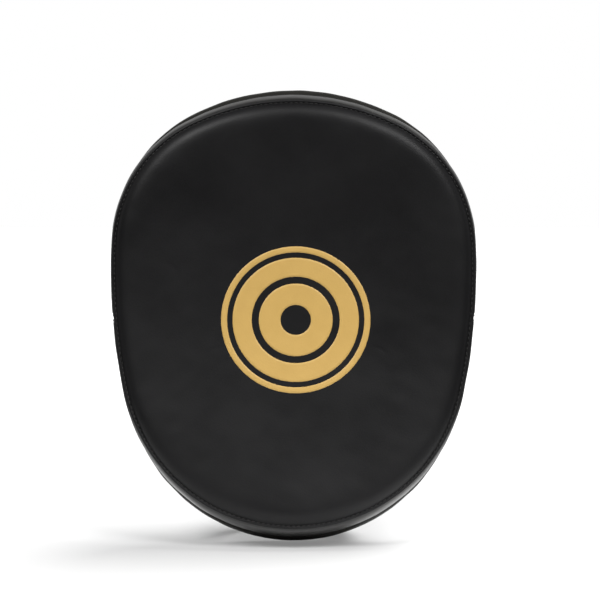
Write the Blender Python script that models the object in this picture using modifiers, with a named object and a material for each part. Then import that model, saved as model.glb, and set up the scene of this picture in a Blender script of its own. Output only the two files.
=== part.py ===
"""Curved focus mitt for boxing training, as the separate pieces it is sewn from.

Frame: +Z is up, +X is to the right of someone facing the striking side, and -Y points at them. The mitt
stands on the bottom edge of its pad and on the feet of its two cuff wings, leaning back a little.
The origin is on the floor, under the middle of the whole mitt.

Lengths below are in millimetres, and MM turns them into metres. The pad is designed flat and then bent:
x is across, s is the height along the pad, and t is the depth behind its front seam. h is the height above
the back cover, and a is the distance along the wrist cuff.
"""

import math

import bmesh
import bpy
from mathutils import Matrix, Vector

MM = 0.001
GAP = 0.3

# Half of the pad's outline, from the top centre to the bottom centre: radius, sweep in degrees, steps.
# One more arc, of BOTTOM_STEPS steps, closes it on the midline.
OUTLINE_ARCS = ((131.0, 26.2, 3), (78.4, 61.0, 6), (315.0, 15.0, 4), (107.7, 13.3, 2))
BOTTOM_STEPS = 8
JOIN_STEP = 11
JOIN_PULL = 0.02
CENTRE_UP = 128.0

# The bend: the striking face is hollow towards the puncher, and the mitt leans back on its cuff.
BEND_RADIUS = 422.0
LEAN = math.radians(5.2)
DEPTH_SHIFT = -23.25

# Depths through the pad, from the front seam.
CROWN = 7.5
LEATHER = 1.4
FRONT_BAND = (5.0, 16.8)
MID_PIPING_T = 18.5
BASE_BAND = (20.2, 27.8)
REAR_PIPING_T = 29.2
REAR_COVER_T = 30.7
BACK_T = REAR_COVER_T + LEATHER
BAND_BULGE = 1.5
BAND_INSET = 0.4
SIDE_PROFILE = ((0.0, 0.0), (0.25, 0.75), (0.5, 1.0), (0.75, 0.75), (1.0, 0.0))
PIPING_RADIUS = 1.1
PIPING_INSET = 1.9
FOAM_INSET = 3.6
IMPACT_FOAM = (3.4, 12.0)
SHOCK_FOAM = (12.3, 21.0)
BASE_FOAM = (21.3, 30.3)
FINE_RINGS = (1.0, 0.93, 0.8, 0.65, 0.5, 0.375, 0.25, 0.125)
CROWNED_RINGS = (1.0, 0.93, 0.8, 0.5, 0.25)
COARSE_RINGS = (1.0, 0.8, 0.5, 0.25)

# Printed target rings on the face: centre, then inner and outer radius of each.
PRINT_CENTRE = (1.2, 117.0)
PRINT_RINGS = {
    "print_ring_outer": (38.2, 41.5),
    "print_ring_middle": (24.5, 35.1),
    "print_ring_inner": (8.5, 20.5),
}
PRINT_THICKNESS = 0.4
PRINT_LIFT = 0.5

# Finger hood: half width and depth of the hollow at the mouth, depth near the tip, and where it runs.
HOOD = {"mouth": (0.0, 138.0), "turn": 0.0, "length": 91.0, "width": 53.0, "depth": 37.0, "tip_depth": 13.0}
THUMB = {"mouth": (-56.0, 90.0), "turn": 26.0, "length": 52.0, "width": 14.5, "depth": 23.0, "tip_depth": 17.0}
ARCH_STEPS = 12
ARCH_ROWS = (0.0, 0.22, 0.44, 0.62, 0.77, 0.88, 0.96)
LINING = 0.8
PADDING = 4.0
LAYER_GAP = 0.6
SEAT = 0.6
MOUTH_TAPE_RADIUS = 1.6
MOUTH_TAPE_DROP = 2.2
MOUTH_TAPE_LIFT = 1.3
HEM = 5.0
THREAD_RADIUS = 0.4
STITCH_LIFT = 0.3
JOIN_CORD_RADIUS = 0.5
JOIN_CORD_CLEAR = 0.4
TOPSTITCH = (1.5, -2.4)
FRONT_PIPING_T = 3.5
EYELET_PLACES = ((-11.0, 188.0), (11.0, 188.0), (-11.0, 206.0), (11.0, 206.0))
EYELET_RADII = (3.2, 0.7)

# Palm ball and wrist cushion, both lying on the back cover: centre, half sizes and height.
PALM_BALL = {"centre": (0.0, 108.0), "half": (24.0, 22.0), "height": 11.0, "power": 2.0}
WRIST_CUSHION = {"centre": (0.0, 50.0), "half": (33.0, 29.0), "height": 6.5, "power": 4.0}
PILLOW_EDGE = 0.8
COVER_RISE = 1.0
COVER_CLEAR = 1.2
PILLOW_STEPS = 20
PILLOW_RINGS = (1.0, 0.9, 0.65, 0.35)

# Wrist cuff, in its own straight frame on the back cover. Its walls follow an ellipse.
CUFF_UP = 44.0
CUFF_TOP = 34.0
CUFF_LOW = (-31.0, -60.0)
CUFF_CORNER_DEG = (33.5, 44.0)
TUNNEL = (36.0, 41.0)
CUFF_SEAT = 0.5
WING = (0.0, 56.0)
WING_THICKNESS = 5.0
WING_EDGE_TAPE = (1.5, 2.2, -22.0)
PATCH_THICKNESS = 1.2
STRAP_THICKNESS = 2.0
STRAP_HALF_WIDTH = 22.0
PATCH_HALF_WIDTH = 20.0
STRAP_MIDDLE = 6.0
LOOP_PATCH = (16.0, 52.0)
HOOK_PATCH = (18.0, 47.0)
TAIL = (11.0, 49.0)
STRAP = (49.8, 126.2)
ANCHOR = (127.0, 158.0)
BADGE = (78.0, 104.0)
BADGE_HALF_WIDTH = 12.0
BADGE_THICKNESS = 1.2
BOX_STITCH = (131.0, 154.0, 17.0)

COLOURS = {
    "vinyl": ((0.016, 0.016, 0.017), 0.45, 0.0),
    "gold_print": ((0.53, 0.33, 0.08), 0.5, 0.0),
    "thread": ((0.02, 0.02, 0.02), 0.8, 0.0),
    "foam": ((0.20, 0.20, 0.21), 0.9, 0.0),
    "lining": ((0.04, 0.04, 0.045), 0.95, 0.0),
    "binding": ((0.02, 0.02, 0.022), 0.7, 0.0),
    "webbing": ((0.018, 0.018, 0.02), 0.8, 0.0),
    "hook_loop": ((0.01, 0.01, 0.01), 0.95, 0.0),
    "rubber": ((0.03, 0.03, 0.03), 0.6, 0.0),
    "eyelet": ((0.55, 0.55, 0.56), 0.3, 1.0),
}


def outline_half():
    """Right half of the pad's outline as (x, s, nx, ns), from the top centre to the bottom centre."""
    points = []
    x = 0.0
    s = 0.0
    heading = 0.0
    arcs = [(radius, math.radians(sweep), steps) for radius, sweep, steps in OUTLINE_ARCS]
    closing = math.pi - sum(arc[1] for arc in arcs)
    arcs.append((None, closing, BOTTOM_STEPS))
    for radius, sweep, steps in arcs:
        if radius is None:
            radius = x / math.sin(heading)
        for step in range(steps):
            turn = heading + sweep * step / steps
            along = radius * (math.sin(turn) - math.sin(heading))
            down = radius * (math.cos(turn) - math.cos(heading))
            points.append((x + along, s + down, math.sin(turn), math.cos(turn)))
        x += radius * (math.sin(heading + sweep) - math.sin(heading))
        s += radius * (math.cos(heading + sweep) - math.cos(heading))
        heading += sweep
    points.append((0.0, s, 0.0, -1.0))
    return [(px, ps - s, nx, ns) for px, ps, nx, ns in points]


HALF = outline_half()
PAD_HEIGHT = HALF[0][1]
LOWEST = (BEND_RADIUS + BACK_T) * math.sin(-0.5 * PAD_HEIGHT / BEND_RADIUS - LEAN)


def bend(x, s, t):
    """Bent place of the flat pad's point, in metres."""
    angle = (s - 0.5 * PAD_HEIGHT) / BEND_RADIUS - LEAN
    radius = BEND_RADIUS + t
    y = radius * math.cos(angle) - BEND_RADIUS + DEPTH_SHIFT
    z = radius * math.sin(angle) - LOWEST
    return Vector((x, y, z)) * MM


def outline_points(inset, scale=1.0):
    """The whole outline as (x, s), moved in by inset and scaled about the pad's centre."""
    half = [(x - inset * nx, s - inset * ns) for x, s, nx, ns in HALF]
    left = [(-x, s) for x, s in half[-2:0:-1]]
    return [(x * scale, CENTRE_UP + (s - CENTRE_UP) * scale) for x, s in half + left]


def pad_ring(inset, depth, scale=1.0):
    return [bend(x, s, depth) for x, s in outline_points(inset, scale)]


def crown_depth(scale):
    """Depth of the crowned face on the ring of that scale: zero at the seam, -CROWN in the middle."""
    return -CROWN * (1.0 - scale**8) ** 0.6


def finish_object(obj, colour, where=None):
    colour_value, roughness, metallic = COLOURS[colour]
    material = bpy.data.materials.get(colour)
    if material is None:
        material = bpy.data.materials.new(colour)
        material.use_nodes = True
        shader = material.node_tree.nodes["Principled BSDF"]
        shader.inputs["Base Color"].default_value = (*colour_value, 1.0)
        shader.inputs["Roughness"].default_value = roughness
        shader.inputs["Metallic"].default_value = metallic
        material.diffuse_color = (*colour_value, 1.0)
    obj.data.materials.clear()
    obj.data.materials.append(material)
    if obj.name not in PARTS.objects:
        PARTS.objects.link(obj)
    if where is not None:
        obj.data.transform(Matrix.Translation(-where))
        obj.location = where
    return obj


def surface(name, rows, colour, ring=False, pole=None, where=None):
    """Open surface through rows of points: ring joins each row's ends, pole closes the last row."""
    mesh = bmesh.new()
    grid = [[mesh.verts.new(point) for point in row] for row in rows]
    count = len(rows[0])
    spans = count if ring else count - 1
    for lower, upper in zip(grid, grid[1:]):
        for index in range(spans):
            after = (index + 1) % count
            mesh.faces.new((lower[index], lower[after], upper[after], upper[index]))
    if pole is not None:
        tip = mesh.verts.new(pole)
        for index in range(spans):
            mesh.faces.new((grid[-1][index], grid[-1][(index + 1) % count], tip))
    data = bpy.data.meshes.new(name)
    mesh.to_mesh(data)
    mesh.free()
    obj = bpy.data.objects.new(name, data)
    return finish_object(obj, colour, where)


def closed_loft(name, rings, colour, first_pole, last_pole):
    """Closed solid through rings of points, with a point in the middle of each end."""
    mesh = bmesh.new()
    grid = [[mesh.verts.new(point) for point in ring] for ring in rings]
    count = len(rings[0])
    for lower, upper in zip(grid, grid[1:]):
        for index in range(count):
            after = (index + 1) % count
            mesh.faces.new((lower[index], lower[after], upper[after], upper[index]))
    for ring, pole in ((grid[0], first_pole), (grid[-1], last_pole)):
        tip = mesh.verts.new(pole)
        for index in range(count):
            mesh.faces.new((ring[index], ring[(index + 1) % count], tip))
    bmesh.ops.recalc_face_normals(mesh, faces=mesh.faces)
    data = bpy.data.meshes.new(name)
    mesh.to_mesh(data)
    mesh.free()
    return finish_object(bpy.data.objects.new(name, data), colour)


def thicken(obj, thickness, side):
    """Gives an open surface its thickness, on the side its faces point to (1) or on the other side (-1)."""
    solid = obj.modifiers.new("thickness", "SOLIDIFY")
    solid.thickness = thickness * MM
    solid.offset = side
    solid.use_even_offset = True
    return obj


def tube(name, points, radius, colour, closed=False, sides=1, where=None):
    """Round cord, thread or binding through the points."""
    origin = where if where is not None else Vector((0.0, 0.0, 0.0))
    curve = bpy.data.curves.new(name, "CURVE")
    curve.dimensions = "3D"
    spline = curve.splines.new("POLY")
    spline.points.add(len(points) - 1)
    for target, point in zip(spline.points, points):
        target.co = (*(point - origin), 1.0)
    spline.use_cyclic_u = closed
    curve.bevel_depth = radius * MM
    curve.bevel_resolution = sides
    curve.use_fill_caps = True
    obj = bpy.data.objects.new(name, curve)
    obj.location = origin
    return finish_object(obj, colour)


# The striking pad


def front_cover():
    rows = [pad_ring(0.0, crown_depth(scale), scale) for scale in FINE_RINGS]
    obj = surface("front_cover", rows, "vinyl", ring=True, pole=bend(0.0, CENTRE_UP, -CROWN))
    thicken(obj, LEATHER, 1.0)


def print_ring(name, inner, outer):
    middle_x, middle_s = PRINT_CENTRE
    rows = []
    for part in range(3):
        radius = outer + (inner - outer) * part / 2
        row = []
        for step in range(36):
            angle = math.tau * step / 36
            x = middle_x + radius * math.sin(angle)
            s = middle_s + radius * math.cos(angle)
            row.append(bend(x, s, -CROWN - PRINT_LIFT))
        rows.append(row)
    thicken(surface(name, rows, "gold_print", ring=True), PRINT_THICKNESS, -1.0)


def piping(name, depth):
    tube(name, pad_ring(PIPING_INSET, depth), PIPING_RADIUS, "vinyl", closed=True)


def side_band(name, depths, indices):
    """Bulged leather strip round the pad's side, along the outline points named by indices."""
    low, high = depths
    rows = []
    for part, bulge in SIDE_PROFILE:
        ring = pad_ring(BAND_INSET - bulge * BAND_BULGE, low + (high - low) * part)
        row = [ring[index] for index in indices]
        closed = len(indices) == len(ring)
        if not closed:
            row[0], row[-1] = row[0].lerp(row[1], JOIN_PULL), row[-1].lerp(row[-2], JOIN_PULL)
        rows.append(row)
    thicken(surface(name, rows, "vinyl", ring=closed), LEATHER, -1.0)


def gussets():
    """Front band in an upper and a lower strip that meet at the pad's sides, and the rear band."""
    count = 2 * (len(HALF) - 1)
    upper = [index % count for index in range(count - JOIN_STEP, count + JOIN_STEP + 1)]
    lower = list(range(JOIN_STEP, count - JOIN_STEP + 1))
    side_band("gusset_upper", FRONT_BAND, upper)
    side_band("gusset_lower", FRONT_BAND, lower)
    side_band("base_band", BASE_BAND, list(range(count)))
    for name, index in (("gusset_join_right", JOIN_STEP), ("gusset_join_left", count - JOIN_STEP)):
        low, high = FRONT_BAND
        points = []
        for part, bulge in SIDE_PROFILE:
            inset = BAND_INSET - bulge * BAND_BULGE - JOIN_CORD_RADIUS - JOIN_CORD_CLEAR
            points.append(pad_ring(inset, low + (high - low) * part)[index])
        tube(name, points, JOIN_CORD_RADIUS, "thread")


def foam_layer(name, depths, crowned):
    front, back = depths
    rings = []
    for scale in reversed(CROWNED_RINGS if crowned else COARSE_RINGS):
        lift = crown_depth(scale) if crowned else 0.0
        rings.append(pad_ring(FOAM_INSET, front + lift, scale))
    for scale in COARSE_RINGS:
        rings.append(pad_ring(FOAM_INSET, back, scale))
    nose = bend(0.0, CENTRE_UP, front - (CROWN if crowned else 0.0))
    closed_loft(name, rings, "foam", nose, bend(0.0, CENTRE_UP, back))


def rear_cover():
    rows = [pad_ring(0.0, REAR_COVER_T, scale) for scale in COARSE_RINGS]
    obj = surface("rear_cover", rows, "vinyl", ring=True, pole=bend(0.0, CENTRE_UP, REAR_COVER_T))
    thicken(obj, LEATHER, 1.0)


# The hand compartment


def arch_rows(design, grow):
    """Rows of an arched hollow on the back cover, grown outward by grow, and the point at its tip."""
    turn = math.radians(design["turn"])
    mouth_x, mouth_s = design["mouth"]
    rows = []
    for part in ARCH_ROWS:
        rounding = (1.0 - part**4) ** 0.35
        width = (design["width"] + grow) * rounding
        taper = design["depth"] + (design["tip_depth"] - design["depth"]) * part
        depth = (taper + grow) * (1.0 - part**8) ** 0.25
        along = (design["length"] + grow) * part
        row = []
        for step in range(ARCH_STEPS + 1):
            angle = math.pi * step / ARCH_STEPS
            across = -width * math.copysign(abs(math.cos(angle)) ** 0.8, math.cos(angle))
            height = SEAT + depth * math.sin(angle) ** 0.8
            x = mouth_x + across * math.cos(turn) - along * math.sin(turn)
            s = mouth_s + across * math.sin(turn) + along * math.cos(turn)
            row.append(bend(x, s, BACK_T + height))
        rows.append(row)
    reach = design["length"] + grow
    tip = bend(mouth_x - reach * math.sin(turn), mouth_s + reach * math.cos(turn), BACK_T + SEAT + 0.3)
    return rows, tip


def arch_shell(name, design, grow, thickness, colour):
    rows, tip = arch_rows(design, grow)
    thicken(surface(name, rows, colour, pole=tip), thickness, -1.0)


def hand_hollow(design, names, padded):
    """Lining, padding and leather over one arched hollow, and the bound edge of its mouth."""
    shell_name, padding_name, lining_name, binding_name = names
    grow = 0.0
    arch_shell(lining_name, design, grow, LINING, "lining")
    grow += LINING + LAYER_GAP
    if padded:
        arch_shell(padding_name, design, grow, PADDING, "foam")
        grow += PADDING + LAYER_GAP
    arch_shell(shell_name, design, grow, LEATHER, "vinyl")
    turn = math.radians(design["turn"])
    edge, _ = arch_rows(design, 0.5 * (grow + LEATHER))
    up_the_pad = (bend(0.0, 1.0, BACK_T) - bend(0.0, 0.0, BACK_T)).normalized()
    away = math.sin(turn) * Vector((1.0, 0.0, 0.0)) - math.cos(turn) * up_the_pad
    shift = (away * MOUTH_TAPE_DROP + Vector((0.0, MOUTH_TAPE_LIFT, 0.0))) * MM
    tube(binding_name, [point + shift for point in edge[0]], MOUTH_TAPE_RADIUS, "binding")
    return grow + LEATHER


def hood_trim(grow):
    """Stitching beside the hood's mouth and four eyelets in its crown."""
    stitch_design = dict(HOOD, mouth=(0.0, HOOD["mouth"][1] + HEM), length=HOOD["length"] - HEM)
    rows, _ = arch_rows(stitch_design, grow + 2.0 * THREAD_RADIUS)
    tube("hood_topstitch", rows[0][1:-1], THREAD_RADIUS, "thread")
    for number, (across, up) in enumerate(EYELET_PLACES, start=1):
        part = (up - HOOD["mouth"][1]) / (HOOD["length"] + grow)
        taper = HOOD["depth"] + (HOOD["tip_depth"] - HOOD["depth"]) * part + grow
        ratio = (across / (HOOD["width"] + grow)) ** 2
        height = BACK_T + SEAT + taper * (1.0 - ratio) ** 0.5 + EYELET_RADII[1] + 0.2
        eyelet(f"vent_eyelet_{number}", across, up, height)


def eyelet(name, x, s, t):
    major, minor = EYELET_RADII
    bpy.ops.mesh.primitive_torus_add(
        major_radius=major * MM, minor_radius=minor * MM, major_segments=14, minor_segments=5
    )
    obj = bpy.context.active_object
    obj.name = name
    obj.data.name = name
    for collection in list(obj.users_collection):
        collection.objects.unlink(obj)
    slope = (HOOD["tip_depth"] - HOOD["depth"]) / HOOD["length"]
    angle = (s - 0.5 * PAD_HEIGHT) / BEND_RADIUS - LEAN + math.atan(-slope)
    obj.rotation_euler = (angle - 0.5 * math.pi, 0.0, 0.0)
    obj.location = bend(x, s, t)
    finish_object(obj, "eyelet")


def pillow_ring(design, scale, height, grow=0.0):
    middle_x, middle_s = design["centre"]
    half_x, half_s = design["half"]
    power = 2.0 / design["power"]
    ring = []
    for step in range(PILLOW_STEPS):
        angle = math.tau * step / PILLOW_STEPS
        across = math.copysign(abs(math.cos(angle)) ** power, math.cos(angle))
        along = math.copysign(abs(math.sin(angle)) ** power, math.sin(angle))
        x = middle_x + (half_x + grow) * scale * across
        s = middle_s + (half_s + grow) * scale * along
        ring.append(bend(x, s, BACK_T + height))
    return ring


def pillow_height(design, scale):
    return SEAT + PILLOW_EDGE + (design["height"] - PILLOW_EDGE) * (1.0 - scale**4) ** 0.5


def pillow(name, design, colour):
    """Stuffed form lying on the back cover."""
    rings = [pillow_ring(design, scale, SEAT) for scale in reversed(PILLOW_RINGS)]
    rings += [pillow_ring(design, scale, pillow_height(design, scale)) for scale in PILLOW_RINGS]
    middle_x, middle_s = design["centre"]
    under = bend(middle_x, middle_s, BACK_T + SEAT)
    over = bend(middle_x, middle_s, BACK_T + SEAT + design["height"])
    closed_loft(name, rings, colour, under, over)


def palm_ball_cover():
    rows = []
    for scale in PILLOW_RINGS:
        height = pillow_height(PALM_BALL, scale) + (COVER_RISE if scale < 1.0 else -PILLOW_EDGE)
        rows.append(pillow_ring(PALM_BALL, scale, height, COVER_CLEAR))
    middle_x, middle_s = PALM_BALL["centre"]
    tip = bend(middle_x, middle_s, BACK_T + SEAT + PALM_BALL["height"] + COVER_RISE)
    thicken(surface("palm_ball_cover", rows, "vinyl", ring=True, pole=tip), LEATHER, -1.0)


# The wrist cuff and its strap


def cuff_directions():
    """Along the cuff towards the fingers, and out from the back cover."""
    angle = (CUFF_UP - 0.5 * PAD_HEIGHT) / BEND_RADIUS - LEAN
    along = Vector((0.0, -math.sin(angle), math.cos(angle)))
    out = Vector((0.0, math.cos(angle), math.sin(angle)))
    return along, out


def cuff_point(angle_deg, a, outside):
    """Point on the cuff's ellipse grown by outside. Angle 0 is at +X, 90 is the crest, 180 is at -X."""
    along, out = cuff_directions()
    angle = math.radians(angle_deg)
    x = (TUNNEL[0] + outside) * math.cos(angle)
    h = CUFF_SEAT + (TUNNEL[1] + outside) * math.sin(angle)
    base = bend(0.0, CUFF_UP, BACK_T)
    return base + (Vector((x, 0.0, 0.0)) + along * a + out * h) * MM


def wing_low(angle_deg):
    """Lower edge of a cuff wing: high at the sewn side, and down to the floor at the foot beside the crest."""
    from_side = min(angle_deg, 180.0 - angle_deg)
    start, end = CUFF_CORNER_DEG
    part = min(1.0, max(0.0, (from_side - start) / (end - start)))
    return CUFF_LOW[0] + (CUFF_LOW[1] - CUFF_LOW[0]) * part**3


def cuff_sheet(name, angles, reach, outside, thickness, colour, steps, where=None):
    """Curved sheet round the cuff between two angles and two places along it. No low place means a wing."""
    start, end = angles
    rows = []
    for a in reach:
        row = []
        for step in range(steps + 1):
            angle = start + (end - start) * step / steps
            row.append(cuff_point(angle, wing_low(angle) if a is None else a, outside))
        rows.append(row)
    obj = surface(name, rows, colour, where=where)
    return thicken(obj, thickness, 1.0)


def floor_cutter():
    """Cuts everything below the floor off the cuff wings, which leaves their flat feet."""
    bpy.ops.mesh.primitive_cube_add(size=1.0)
    cutter = bpy.context.active_object
    cutter.name = "floor_cutter"
    cutter.scale = (0.4, 0.4, 0.1)
    cutter.location = (0.0, 0.0, -0.05)
    cutter.hide_render = True
    cutter.display_type = "WIRE"
    for collection in list(cutter.users_collection):
        collection.objects.unlink(cutter)
    CUTTERS.objects.link(cutter)
    return cutter


def cuff_wings():
    cutter = floor_cutter()
    start, end = WING
    for name, angles in (("cuff_wing_right", (start, end)), ("cuff_wing_left", (180.0 - end, 180.0 - start))):
        wing = cuff_sheet(name, angles, (None, CUFF_TOP), 0.0, WING_THICKNESS, "vinyl", 8)
        cut = wing.modifiers.new("flat_foot", "BOOLEAN")
        cut.operation = "DIFFERENCE"
        cut.object = cutter
    radius, past_edge, low = WING_EDGE_TAPE
    edge = end + past_edge
    for name, angle in (("cuff_binding_right", edge), ("cuff_binding_left", 180.0 - edge)):
        ends = [cuff_point(angle, a, 0.5 * WING_THICKNESS) for a in (low, CUFF_TOP)]
        tube(name, ends, radius, "binding")


def closure():
    """Loop patch on the right wing, and the strap in three lengths with the hook patch under its tail."""
    middle = STRAP_MIDDLE
    patch_reach = (middle - PATCH_HALF_WIDTH, middle + PATCH_HALF_WIDTH)
    strap_reach = (middle - STRAP_HALF_WIDTH, middle + STRAP_HALF_WIDTH)
    level = WING_THICKNESS + GAP
    anchor_level = level
    cuff_sheet("loop_patch", LOOP_PATCH, patch_reach, level, PATCH_THICKNESS, "hook_loop", 4)
    level += PATCH_THICKNESS + GAP
    hook_level = level
    level += PATCH_THICKNESS + GAP
    surface_level = level + STRAP_THICKNESS
    swing = cuff_point(0.5 * (STRAP[1] + ANCHOR[0]), middle, surface_level)
    peel = cuff_point(0.5 * (STRAP[0] + TAIL[1]), middle, surface_level)
    cuff_sheet("hook_patch", HOOK_PATCH, patch_reach, hook_level, PATCH_THICKNESS, "hook_loop", 4, peel)
    cuff_sheet("strap_tail", TAIL, strap_reach, level, STRAP_THICKNESS, "webbing", 4, peel)
    cuff_sheet("wrist_strap", STRAP, strap_reach, level, STRAP_THICKNESS, "webbing", 8, swing)
    badge_reach = (middle - BADGE_HALF_WIDTH, middle + BADGE_HALF_WIDTH)
    cuff_sheet("strap_badge", BADGE, badge_reach, surface_level + GAP, BADGE_THICKNESS, "rubber", 4, swing)
    filler = surface_level - anchor_level
    cuff_sheet("strap_anchor", ANCHOR, strap_reach, anchor_level, filler, "webbing", 4)
    low, high, half = BOX_STITCH
    across = (low, 0.5 * (low + high), high)
    lift = surface_level + THREAD_RADIUS + STITCH_LIFT
    corners = [cuff_point(angle, middle - half, lift) for angle in across]
    corners += [cuff_point(angle, middle + half, lift) for angle in reversed(across)]
    tube("anchor_stitching", corners, THREAD_RADIUS, "thread", closed=True)
    return swing, peel


def build():
    front_cover()
    for name, (inner, outer) in PRINT_RINGS.items():
        print_ring(name, inner, outer)
    piping("front_piping", FRONT_PIPING_T)
    tube("front_topstitch", pad_ring(*TOPSTITCH), THREAD_RADIUS, "thread", closed=True, sides=0)
    gussets()
    piping("mid_piping", MID_PIPING_T)
    piping("rear_piping", REAR_PIPING_T)
    foam_layer("impact_foam", IMPACT_FOAM, crowned=True)
    foam_layer("shock_foam", SHOCK_FOAM, crowned=False)
    foam_layer("base_foam", BASE_FOAM, crowned=False)
    rear_cover()
    grow = hand_hollow(HOOD, ("finger_hood", "hood_padding", "hood_lining", "hood_binding"), padded=True)
    hood_trim(grow)
    hand_hollow(THUMB, ("thumb_stall", None, "thumb_lining", "thumb_binding"), padded=False)
    pillow("palm_ball", PALM_BALL, "foam")
    palm_ball_cover()
    pillow("wrist_cushion", WRIST_CUSHION, "vinyl")
    cuff_wings()
    closure()


for old in list(bpy.data.objects):
    bpy.data.objects.remove(old)
PARTS = bpy.data.collections.new("focus_mitt")
CUTTERS = bpy.data.collections.new("cutters")
bpy.context.scene.collection.children.link(PARTS)
bpy.context.scene.collection.children.link(CUTTERS)
build()
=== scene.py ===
import math
import random

import bmesh
import bpy
import numpy as np
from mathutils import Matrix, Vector


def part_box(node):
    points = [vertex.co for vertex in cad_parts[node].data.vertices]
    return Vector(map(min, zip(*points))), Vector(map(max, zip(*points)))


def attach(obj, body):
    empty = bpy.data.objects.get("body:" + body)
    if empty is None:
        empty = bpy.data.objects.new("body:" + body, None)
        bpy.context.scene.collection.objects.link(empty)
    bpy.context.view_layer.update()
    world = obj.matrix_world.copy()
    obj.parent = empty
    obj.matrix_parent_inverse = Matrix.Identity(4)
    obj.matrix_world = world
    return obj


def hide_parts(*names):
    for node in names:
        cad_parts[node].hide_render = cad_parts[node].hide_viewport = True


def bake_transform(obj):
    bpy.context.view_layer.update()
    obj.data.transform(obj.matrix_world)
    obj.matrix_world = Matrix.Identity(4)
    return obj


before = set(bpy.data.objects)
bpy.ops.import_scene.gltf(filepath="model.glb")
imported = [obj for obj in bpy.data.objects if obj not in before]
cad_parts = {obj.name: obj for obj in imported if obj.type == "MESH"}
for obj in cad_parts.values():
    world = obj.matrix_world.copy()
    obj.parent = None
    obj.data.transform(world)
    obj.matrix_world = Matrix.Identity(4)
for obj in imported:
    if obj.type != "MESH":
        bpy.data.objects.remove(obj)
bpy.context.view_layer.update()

# Lengths are in millimetres and MM turns them into metres. The pad is designed flat and then bent, by the
# same rules as the CAD: x across, s up along the pad, t behind the front seam, h above the back cover.
MM = 0.001
OUTLINE_ARCS = ((131.0, 26.2), (78.4, 61.0), (315.0, 15.0), (107.7, 13.3))
JOIN_HEADING = math.radians(94.7)
BEND_RADIUS = 422.0
LEAN = math.radians(5.2)
BACK_T = 32.1
CENTRE = np.array((0.0, 128.0))
AROUND = 520
STITCH_PITCH = 2.8
WIDE_STITCH = {"pitch": 3.0, "length": 2.2}
CLOSE_STITCH = {"pitch": 2.8, "length": 2.0}


# Shapes: the flat outline and the bend


def outline_arcs():
    """The half outline's arcs as (radius, start heading, sweep, start x, start s), from the top centre."""
    arcs = []
    x, s, heading = 0.0, 0.0, 0.0
    sweeps = [(radius, math.radians(sweep)) for radius, sweep in OUTLINE_ARCS]
    sweeps.append((None, math.pi - sum(sweep for _, sweep in sweeps)))
    for radius, sweep in sweeps:
        if radius is None:
            radius = x / math.sin(heading)
        arcs.append((radius, heading, sweep, x, s))
        x += radius * (math.sin(heading + sweep) - math.sin(heading))
        s += radius * (math.cos(heading + sweep) - math.cos(heading))
        heading += sweep
    return arcs, -s


ARCS, PAD_HEIGHT = outline_arcs()
HALF_LENGTH = sum(arc[0] * arc[2] for arc in ARCS)


def outline(count):
    """Points and outward normals round the pad, evenly spaced, clockwise from the top centre."""
    distance = np.arange(count) * 2.0 * HALF_LENGTH / count
    mirrored = distance > HALF_LENGTH
    distance = np.where(mirrored, 2.0 * HALF_LENGTH - distance, distance)
    points = np.zeros((count, 2))
    normals = np.zeros((count, 2))
    start = 0.0
    for radius, heading, sweep, x, s in ARCS:
        here = (distance >= start - 1e-9) & (distance <= start + radius * sweep + 1e-9)
        turn = heading + (distance[here] - start) / radius
        points[here, 0] = x + radius * (np.sin(turn) - math.sin(heading))
        points[here, 1] = s + PAD_HEIGHT + radius * (np.cos(turn) - math.cos(heading))
        normals[here, 0] = np.sin(turn)
        normals[here, 1] = np.cos(turn)
        start += radius * sweep
    points[mirrored, 0] *= -1.0
    normals[mirrored, 0] *= -1.0
    return points, normals


RIM_POINTS, RIM_NORMALS = outline(AROUND)


def bend_angle(s):
    return (s - 0.5 * PAD_HEIGHT) / BEND_RADIUS - LEAN


def bend_shift():
    """What moves the bend so that it lies on the CAD's back cover."""
    low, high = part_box("rear_cover")
    lowest = (BEND_RADIUS + BACK_T) * math.sin(bend_angle(0.0)) * MM
    return np.array((0.0, high.y - BACK_T * MM, low.z - lowest))


SHIFT = bend_shift()


def bend(x, s, t):
    """Bent places of flat points, in metres. Works on numbers and on arrays."""
    angle = bend_angle(s)
    radius = BEND_RADIUS + t
    y = radius * np.cos(angle) - BEND_RADIUS
    z = radius * np.sin(angle)
    return np.stack(np.broadcast_arrays(x * MM, y * MM, z * MM), axis=-1) + SHIFT


def smooth(value):
    value = np.clip(value, 0.0, 1.0)
    return value * value * (3.0 - 2.0 * value)


# Meshes


def plain_mesh(name, points, faces, material):
    data = bpy.data.meshes.new(name)
    data.from_pydata([tuple(p) for p in np.asarray(points).reshape(-1, 3)], [], faces)
    data.validate()
    data.shade_smooth()
    obj = bpy.data.objects.new(name, data)
    bpy.context.scene.collection.objects.link(obj)
    data.materials.append(material)
    return obj


def mesh_object(name, points, faces, kind, node=None, fill=None, body="mitt"):
    """A piece of one kind of material. It may replace a CAD node and ride on a body; its fill argument is not
    used.
    """
    obj = plain_mesh(name, points, faces, MAT[kind])
    if body is not None:
        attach(obj, body)
    if node is not None:
        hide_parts(node)
    return obj


def grid_faces(rows, columns, wrap_rows=False, wrap_columns=False, first=0):
    """Quads of a grid whose points run row by row."""
    faces = []
    for row in range(rows if wrap_rows else rows - 1):
        after_row = (row + 1) % rows
        for column in range(columns if wrap_columns else columns - 1):
            after = (column + 1) % columns
            a = first + row * columns
            b = first + after_row * columns
            faces.append((a + column, a + after, b + after, b + column))
    return faces


def cap(points):
    """Face that closes the last ring of a grid."""
    rows, columns = points.shape[:2]
    return tuple(range((rows - 1) * columns, rows * columns))


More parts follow.
